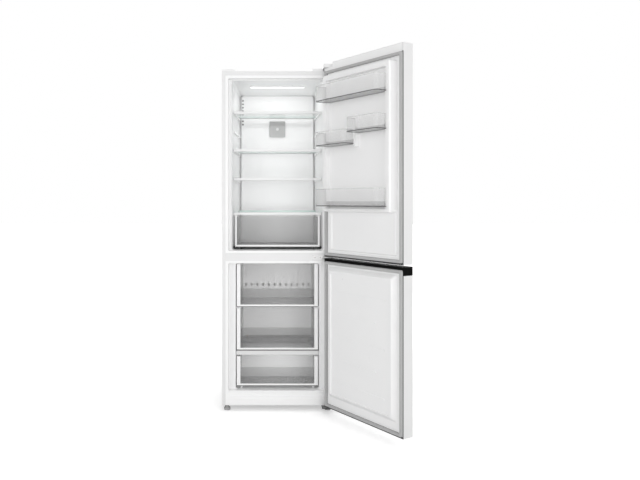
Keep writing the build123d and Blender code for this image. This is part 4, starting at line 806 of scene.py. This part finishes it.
shell_rows = (
    (0.30, 0.0635), (0.72, 0.0640), (0.88, 0.0680), (0.955, 0.0760), (0.985, 0.0880), (0.99, 0.1430),
    (1.00, 0.1455), (1.042, 0.1462), (1.050, 0.1485), (1.042, 0.1508), (1.00, 0.1515), (0.985, 0.1540),
    (0.975, 0.1700), (0.945, 0.1850), (0.88, 0.1970), (0.77, 0.2055), (0.60, 0.2100), (0.35, 0.2118),
    (0.05, 0.2120),
)
shell = bmesh.new()
join_loops(shell, [oval(share, height) for share, height in shell_rows])
plate_outline = frame_loop((shell_x - 0.100, shell_y - 0.072), (shell_x + 0.100, shell_y + 0.072), 0.018)
join_loops(shell, [[(x, y, z) for x, y in plate_outline] for z in (plate_low, plate_low + 0.003)])

# Two pipe stubs on the rear side of the shell
turned(shell, (0.150, 0.4885, 0.100), (0, 1, 0), ((0.0045, -0.006), (0.0045, 0.0), (0.0038, 0.001)), 16)
turned(shell, (0.095, 0.4880, 0.112), (0, 1, 0), ((0.0045, -0.006), (0.0045, 0.001), (0.0038, 0.002)), 16)
compressor_piece = settle(shell, "compressor_shell", "cabinet", black_enamel)
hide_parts("compressor")

terminal = bmesh.new()
slab(terminal, (0.008, 0.388, 0.100), (0.040, 0.452, 0.140))
slab(terminal, (0.0065, 0.393, 0.106), (0.0095, 0.447, 0.134))
terminal_piece = settle(terminal, "terminal_cover", "cabinet", black_plastic, edge=0.003)

# The clip is two bent wires of square section, from the foot of the cover up over its top
wire_half, wire_reach = 0.0008, 0.001
wire_section = (
    (-wire_half, -wire_reach), (-wire_half, wire_reach), (wire_half, wire_reach), (wire_half, -wire_reach),
)
clip_path = ((0.0050, 0.097), (0.0050, 0.143), (0.020, 0.1432), (0.036, 0.150))
clip = bmesh.new()
for clip_y in (0.403, 0.437):
    join_loops(clip, [[(x + out, clip_y + along, z + out) for out, along in wire_section] for x, z in clip_path])
settle(clip, "terminal_clip", "cabinet", screw_steel)

black_rubber = mottled("black_rubber", {"Specular IOR Level": 0.3}, grey(40), grey(62), 0.006, 4.0, 0.7, 0.9)
black_rubber.bump(black_rubber.grain(black_rubber.place(), 0.006, 4.0), 0.0002, 0.4)
grommet_spots = [(x, y) for x in (0.035, 0.205) for y in (0.360, 0.480)]
grommet_profile = [
    (0.0075, 0.0), (0.0105, 0.0), (0.011, 0.001), (0.011, 0.0035), (0.0092, 0.0046), (0.0092, 0.0066),
    (0.011, 0.0078), (0.011, 0.0112), (0.0102, 0.012), (0.0035, 0.012),
]
grommets = bmesh.new()
for grommet_x, grommet_y in grommet_spots:
    turned(grommets, (grommet_x, grommet_y, 0.048), (0, 0, 1), grommet_profile)
grommet_piece = settle(grommets, "grommet_rubbers", "cabinet", black_rubber)
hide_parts("compressor_grommets")

washer_profile = ((0.0085, 0.0), (0.0085, 0.001), (0.003, 0.0012))
hexagon_profile = ((0.006, 0.0), (0.006, 0.004), (0.0052, 0.0048))
plate_bolts = bmesh.new()
for grommet_x, grommet_y in grommet_spots:
    turned(plate_bolts, (grommet_x, grommet_y, plate_low + 0.003), (0, 0, 1), washer_profile)
    turned(plate_bolts, (grommet_x, grommet_y, plate_low + 0.004), (0, 0, 1), hexagon_profile, 6)
settle(plate_bolts, "foot_plate_bolts", "cabinet", screw_steel, edge=0.0003)

# ---------------------------------------------------------------- refrigerant tubing
# Copper on the warm side, with a drier bottle, and the condenser's long zigzag behind the foam.
# The suction line rises through the floor of the freezer to the coil.

bright_copper = (0.62, 0.30, 0.19, 1.0)
stained_copper = (0.38, 0.19, 0.12, 1.0)
copper = mottled("copper_tube", {"Metallic": 1.0}, bright_copper, stained_copper, 0.012, 5.0, 0.28, 0.53)
dress(copper, "refrigerant_tubing")

# ---------------------------------------------------------------- electrics beside the compressor
# A dark moulded box takes the controls, with the power inlet in its rear. Two lids close it above
# and below the inlet, each held by two screws.

box_low, box_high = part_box("control_box")
dark_plastic = grained(
    "dark_plastic", {"Coat Weight": 0.0}, grey(70), grey(86), 0.05, 2.0, 0.0012, 0.48, 0.64, 0.00015
)
dress(dark_plastic, "control_box", edge=0.001)
lid_left, lid_right = box_low.x + 0.004, box_high.x - 0.004
lid_seat, lid_face = box_high.y - 0.001, box_high.y + 0.0025
lid = bmesh.new()
slab(lid, (lid_left, lid_seat, box_low.z + 0.094), (lid_right, lid_face, box_high.z - 0.005))
for rib in range(6):
    rib_z = box_low.z + 0.101 + rib * 0.0042
    slab(lid, (lid_left + 0.012, box_high.y, rib_z), (lid_right - 0.012, box_high.y + 0.0038, rib_z + 0.0018))
slab(lid, (lid_left, lid_seat, box_low.z + 0.005), (lid_right, lid_face, box_low.z + 0.036))
settle(lid, "control_box_lid", "cabinet", dark_plastic, edge=0.0006)
lid_screws = bmesh.new()
for screw_x in (lid_left + 0.006, lid_right - 0.006):
    for screw_z in (box_low.z + 0.0125, box_high.z - 0.0125):
        pan_head(lid_screws, (screw_x, lid_face, screw_z), (0, 1, 0), 0.0036)
settle(lid_screws, "control_box_screws", "cabinet", screw_steel)

# ---------------------------------------------------------------- feet and rollers
# The cabinet stands in front on two screwed feet with a hexagon to turn them by, and behind on two
# plastic rollers on riveted pins.

foot_plastic = Finish("foot_plastic", {"Coat Weight": 0.0})
foot_place = foot_plastic.place()
foot_grain = foot_plastic.grain(foot_place, 0.001, 3.0)
foot_dust = foot_place.along(2).rise(0.012, 0.0) * foot_plastic.grain(foot_place, 0.01, 4.0)
foot_plastic.feed("Base Color", foot_plastic.tint(foot_dust, grey(166), grey(192)))
foot_plastic.feed("Roughness", 0.5 + foot_grain * 0.2)
foot_plastic.bump(foot_grain, 0.00015, 0.5)
dress(foot_plastic, "front_foot_left", "front_foot_right", "rear_roller_left", "rear_roller_right")

# Small upright teeth round the rim of each foot
tooth_total = 30
tooth_profile = ((0.0004, 0.0018), (0.0009, 0.0026), (0.0009, 0.0118), (0.0004, 0.0126))
for side, foot_name in ((-1, "front_foot_left"), (1, "front_foot_right")):
    treads = bmesh.new()
    for tooth in range(tooth_total):
        angle = tau * tooth / tooth_total
        spot = Vector((side * 0.270, 0.020, 0.0)) + Vector((cos(angle), sin(angle), 0)) * 0.0168
        turned(treads, spot, (0, 0, 1), tooth_profile, 6)
    settle(treads, f"{foot_name}_treads", foot_name, foot_plastic)
dress(base_steel, "roller_axles")

# ---------------------------------------------------------------- hinges, covers and screws
# Zinc plated steel brackets carry the doors on steel pins. White moulded covers hide the top one
# and fill the opposite corner; the middle bracket shows between the doors, with two screws.

hinge_steel = mottled("hinge_steel", {"Metallic": 0.6}, grey(196), grey(216), 0.015, 4.0, 0.34, 0.50)
dress(hinge_steel, "top_hinge", "middle_hinge", "hinge_pins", edge=0.0005)
dark_hinge = mottled("bottom_hinge_steel", {"Metallic": 0.3}, grey(96), grey(122), 0.012, 4.0, 0.42, 0.60)
dress(dark_hinge, "bottom_hinge", edge=0.0005)
dress(screw_steel, "hinge_screws", edge=0.0008)
cap_plastic = moulded("cap_plastic", grey(242), grey(237), 0.3, 0.0012)
dress(cap_plastic, "top_hinge_cover", "top_corner_cover", edge=0.001)

# A cross of two thin dark bars paints the shade in the recess of each screw of the middle bracket
low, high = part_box("middle_hinge")
screw_z = (low.z + high.z) / 2
bar_front, bar_rear = -0.00665, -0.0064
recesses = bmesh.new()
for screw_x in (0.201, 0.231):
    for x, z in ((0.0030, 0.0006), (0.0006, 0.0030)):
        slab(recesses, (screw_x - x, bar_front, screw_z - z), (screw_x + x, bar_rear, screw_z + z))
settle(recesses, "middle_screw_recesses", "cabinet", painted_shadow_fill)

# ---------------------------------------------------------------- door shells
# Steel fronts bent round the sides, enamelled like the cabinet, with moulded plastic end caps. They
# are worked out closed and turned about the hinge line to where the doors stand.

door_joint = next(joint for joint in frame["joints"] if joint["name"] == "fridge_door_hinge")
door_angle = -radians(door_joint["range_deg"][0])
hinge_place = Vector(door_joint["pos_m"])
swing = (
    Matrix.Translation(hinge_place) @ Matrix.Rotation(door_angle, 4, "Z") @ Matrix.Translation(-hinge_place)
)

# The lowest and highest edge of each gasket, and the middle of the gap between the two
lower_low, lower_high = (corner.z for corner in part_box("freezer_door_gasket"))
upper_low, upper_high = (corner.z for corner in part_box("fridge_door_gasket"))
doors_part = lower_high + 0.006


def door_depth(place):
    """How far a place lies from the hinge line towards the inner side of the door, square to it."""
    across = (place.along(0) - hinge_place.x) * -sin(door_angle)
    return across + (place.along(1) - hinge_place.y) * cos(door_angle)


def inner_edge(place):
    return door_depth(place).rise(0.0262, 0.0268)


def skin_edge_shadow(place):
    """A painted shadow line along the steel's turned-in edge, which ends below the top cap."""
    return inner_edge(place) * place.along(2).rise(upper_high + 0.005, upper_high - 0.001)


def cap_edge_shadow(place):
    """The same painted shadow line on the caps between the doors."""
    return inner_edge(place) * place.along(2).rise(0.90, 0.88)


def liner_edge_shadow(place):
    """The same painted shadow line on the liners, under both gaskets."""
    height = place.along(2)
    above_lower = height.rise(doors_part, doors_part + 0.002)
    return (height.rise(lower_low + 0.0004, lower_low - 0.0002)
            + above_lower * height.rise(upper_low + 0.0004, upper_low - 0.0002))


door_paint = enamel("door_enamel", grey(235), grey(228), skin_edge_shadow)
dress(door_paint, "fridge_door_skin", "freezer_door_skin")
door_cap_plastic = moulded("door_cap_plastic", grey(242), grey(237), 0.3, 0.0012, cap_edge_shadow)
dress(door_cap_plastic, "fridge_door_caps", "freezer_door_cap", edge=0.0008)
door_liner_plastic = moulded("door_liner_plastic", grey(248), grey(244), painted_shade=liner_edge_shadow)
dress(door_liner_plastic, "fridge_door_liner", "freezer_door_liner")

# ---------------------------------------------------------------- freezer door's grip
# A black profile closes the top of the freezer door, hollowed from the front so that fingers reach
# behind its lip. Fine ridges run along the lip's inside.

grip_plastic = grained(
    "grip_plastic", {"Specular IOR Level": 0.06}, grey(5), grey(11), 0.05, 3.0, 0.0009, 0.45, 0.60, 0.0001
)
dress(grip_plastic, "freezer_door_handle", edge=0.0012)
grip_z = 0.7929
grip_ridges = bmesh.new()
for ridge in range(3):
    ridge_y = -0.0715 + ridge * 0.0022
    loops = []
    for ridge_x, tall in ((-0.284, 0.0003), (-0.281, 0.0010), (0.245, 0.0010), (0.248, 0.0003)):
        loops.append([
            (ridge_x, ridge_y - 0.0007, grip_z - 0.0002),
            (ridge_x, ridge_y, grip_z + tall),
            (ridge_x, ridge_y + 0.0007, grip_z - 0.0002),
        ])
    join_loops(grip_ridges, loops)
bmesh.ops.transform(grip_ridges, matrix=swing, verts=grip_ridges.verts)
settle(grip_ridges, "grip_ridges", "freezer_door", grip_plastic)

# ---------------------------------------------------------------- door gaskets
# A soft vinyl profile, mitred and welded at the corners, pushed into the liner's groove. Its hollow
# outer part holds a strip of flexible magnet, and a fold beside it lets it close softly.

gasket_rubber = Finish("gasket_vinyl", {"Specular IOR Level": 0.35})
gasket_place = gasket_rubber.place()
gasket_bloom = gasket_rubber.grain(gasket_place, 0.01, 4.0)
gasket_cloud = gasket_rubber.grain(gasket_place, 0.18)
gasket_height = gasket_place.along(2)
gasket_above = gasket_height.rise(doors_part - 0.004, doors_part)
lower_lip = gasket_height.rise(lower_low + 0.0040, lower_low + 0.0030)
upper_lip = gasket_above * gasket_height.rise(upper_low + 0.0032, upper_low + 0.0022)
# Painted shade: the foot of each ring all round and the bottom edge of each ring turn dark grey, for the shadow
# beside and under the gasket
gasket_shade = (door_depth(gasket_place).rise(0.0302, 0.0296) + (lower_lip + upper_lip)).clamped()
gasket_body = gasket_rubber.tint(gasket_cloud * 0.6 + gasket_bloom * 0.4, grey(192), grey(175))
gasket_rubber.feed("Base Color", gasket_rubber.tint(gasket_shade, gasket_body, painted_shade_grey))
gasket_rubber.feed("Roughness", 0.52 + gasket_bloom * 0.18)
gasket_rubber.bump(gasket_bloom, 0.0002, 0.3)

# The section in pairs of (distance in from the outer edge, height above the liner), worked out on
# the closed doors: the free side lies at negative X and the liner's face just before Y 0
gasket_free, gasket_hinge = -0.2955, 0.2855
liner_face = -0.012
gasket_profile = (
    (0.0000, 0.0000), (0.0000, 0.0028), (0.0008, 0.0038), (0.0022, 0.0042), (0.0026, 0.0056),
    (0.0016, 0.0068), (0.0014, 0.0098), (0.0026, 0.0112), (0.0048, 0.0113), (0.0054, 0.0107),
    (0.0106, 0.0107), (0.0112, 0.0113), (0.0134, 0.0112), (0.0146, 0.0098), (0.0142, 0.0078),
    (0.0128, 0.0068), (0.0130, 0.0052), (0.0152, 0.0044), (0.0160, 0.0032), (0.0160, 0.0000),
)
for gasket_name, door_body, low, high in (
    ("fridge_door_gasket", "fridge_door", upper_low, upper_high),
    ("freezer_door_gasket", "freezer_door", lower_low, lower_high),
):
    ring = bmesh.new()
    loops = []
    for inset, height in gasket_profile:
        near, far = (gasket_free + inset, low + inset), (gasket_hinge - inset, high - inset)
        outline = frame_loop(near, far, 0.008 - inset * 0.3)
        loops.append([(x, liner_face + height, z) for x, z in outline])
    join_loops(ring, loops, round_trip=True)
    bmesh.ops.transform(ring, matrix=swing, verts=ring.verts)
    gasket_piece = settle(ring, f"{gasket_name}_profile", door_body, gasket_rubber, sharp=55.0)
    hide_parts(gasket_name)

# ---------------------------------------------------------------- door balconies
# Clear polystyrene tubs that hang on lugs of the door liner. Their floors are painted a darker grey, standing in
# for the smoky look along the plastic, a dark line is painted along the foot of each wall, and a thin round bead
# stiffens each upper rim.


def balcony_finish(name, floor_level):
    clear = Finish(name, {"IOR": 1.55})
    place = clear.place()
    height = place.along(2) - floor_level
    upright = abs(clear.add("ShaderNodeNewGeometry", {}, {}, "Normal").along(2)).rise(0.5, 0.3)
    base = height.rise(0.0032, 0.0024)
    foot_line = height.rise(0.0046, 0.0036) * upright
    edge_on = clear.graze(0.28)
    flow = clear.grain(place, 0.05, 3.0)
    # A painted smoky grey on the floor and a painted dark line at the foot of each wall
    clear.feed("Base Color", clear.tint(foot_line, clear.tint(base, grey(226), grey(176)), grey(62)))
    clear.feed("Alpha", (0.07 + edge_on * 0.34 + base * 0.18 + foot_line * 0.6 + flow * 0.03).clamped())
    clear.feed("Roughness", 0.05 + flow * 0.05)
    clear.bump(flow, 0.0005, 0.2)
    return clear


# Free end and hinge end of each rim on the closed door
balcony_ends = {
    "balcony_top": (-0.2345, 0.2375),
    "balcony_left": (0.0045, 0.2375),
    "balcony_right": (-0.2345, -0.0115),
    "balcony_bottle": (-0.2345, 0.2375),
}
rim_rear, rim_corner_y, rim_corner, rim_bend, rim_inset, bead = 0.037, 0.078, 0.020, 0.0188, 0.0012, 0.0019
for balcony, (free_end, hinge_end) in balcony_ends.items():
    balcony_low, balcony_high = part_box(balcony)
    clear_plastic = balcony_finish(f"{balcony}_clear", balcony_low.z)
    dress(clear_plastic, balcony, edge=0.0005)
    rim = bmesh.new()
    path = [(free_end + rim_inset, rim_rear)]
    for middle_x, start in ((free_end + rim_corner, 180), (hinge_end - rim_corner, 90)):
        for step in range(9):
            turn = radians(start - 90 * step / 8)
            path.append((middle_x + rim_bend * cos(turn), rim_corner_y + rim_bend * sin(turn)))
    path.append((hinge_end - rim_inset, rim_rear))
    loops = []
    for index, (x, y) in enumerate(path):
        before = Vector(path[max(index - 1, 0)])
        after = Vector(path[min(index + 1, len(path) - 1)])
        across = (after - before).normalized()
        outward = Vector((-across.y, across.x))
        loop = []
        for step in range(8):
            turn = tau * step / 8
            spot = Vector((x, y)) + outward * bead * cos(turn)
            loop.append((spot.x, spot.y, balcony_high.z - rim_inset + bead * sin(turn)))
        loops.append(loop)
    join_loops(rim, loops)
    bmesh.ops.transform(rim, matrix=swing, verts=rim.verts)
    settle(rim, f"{balcony}_rim", balcony, clear_plastic)
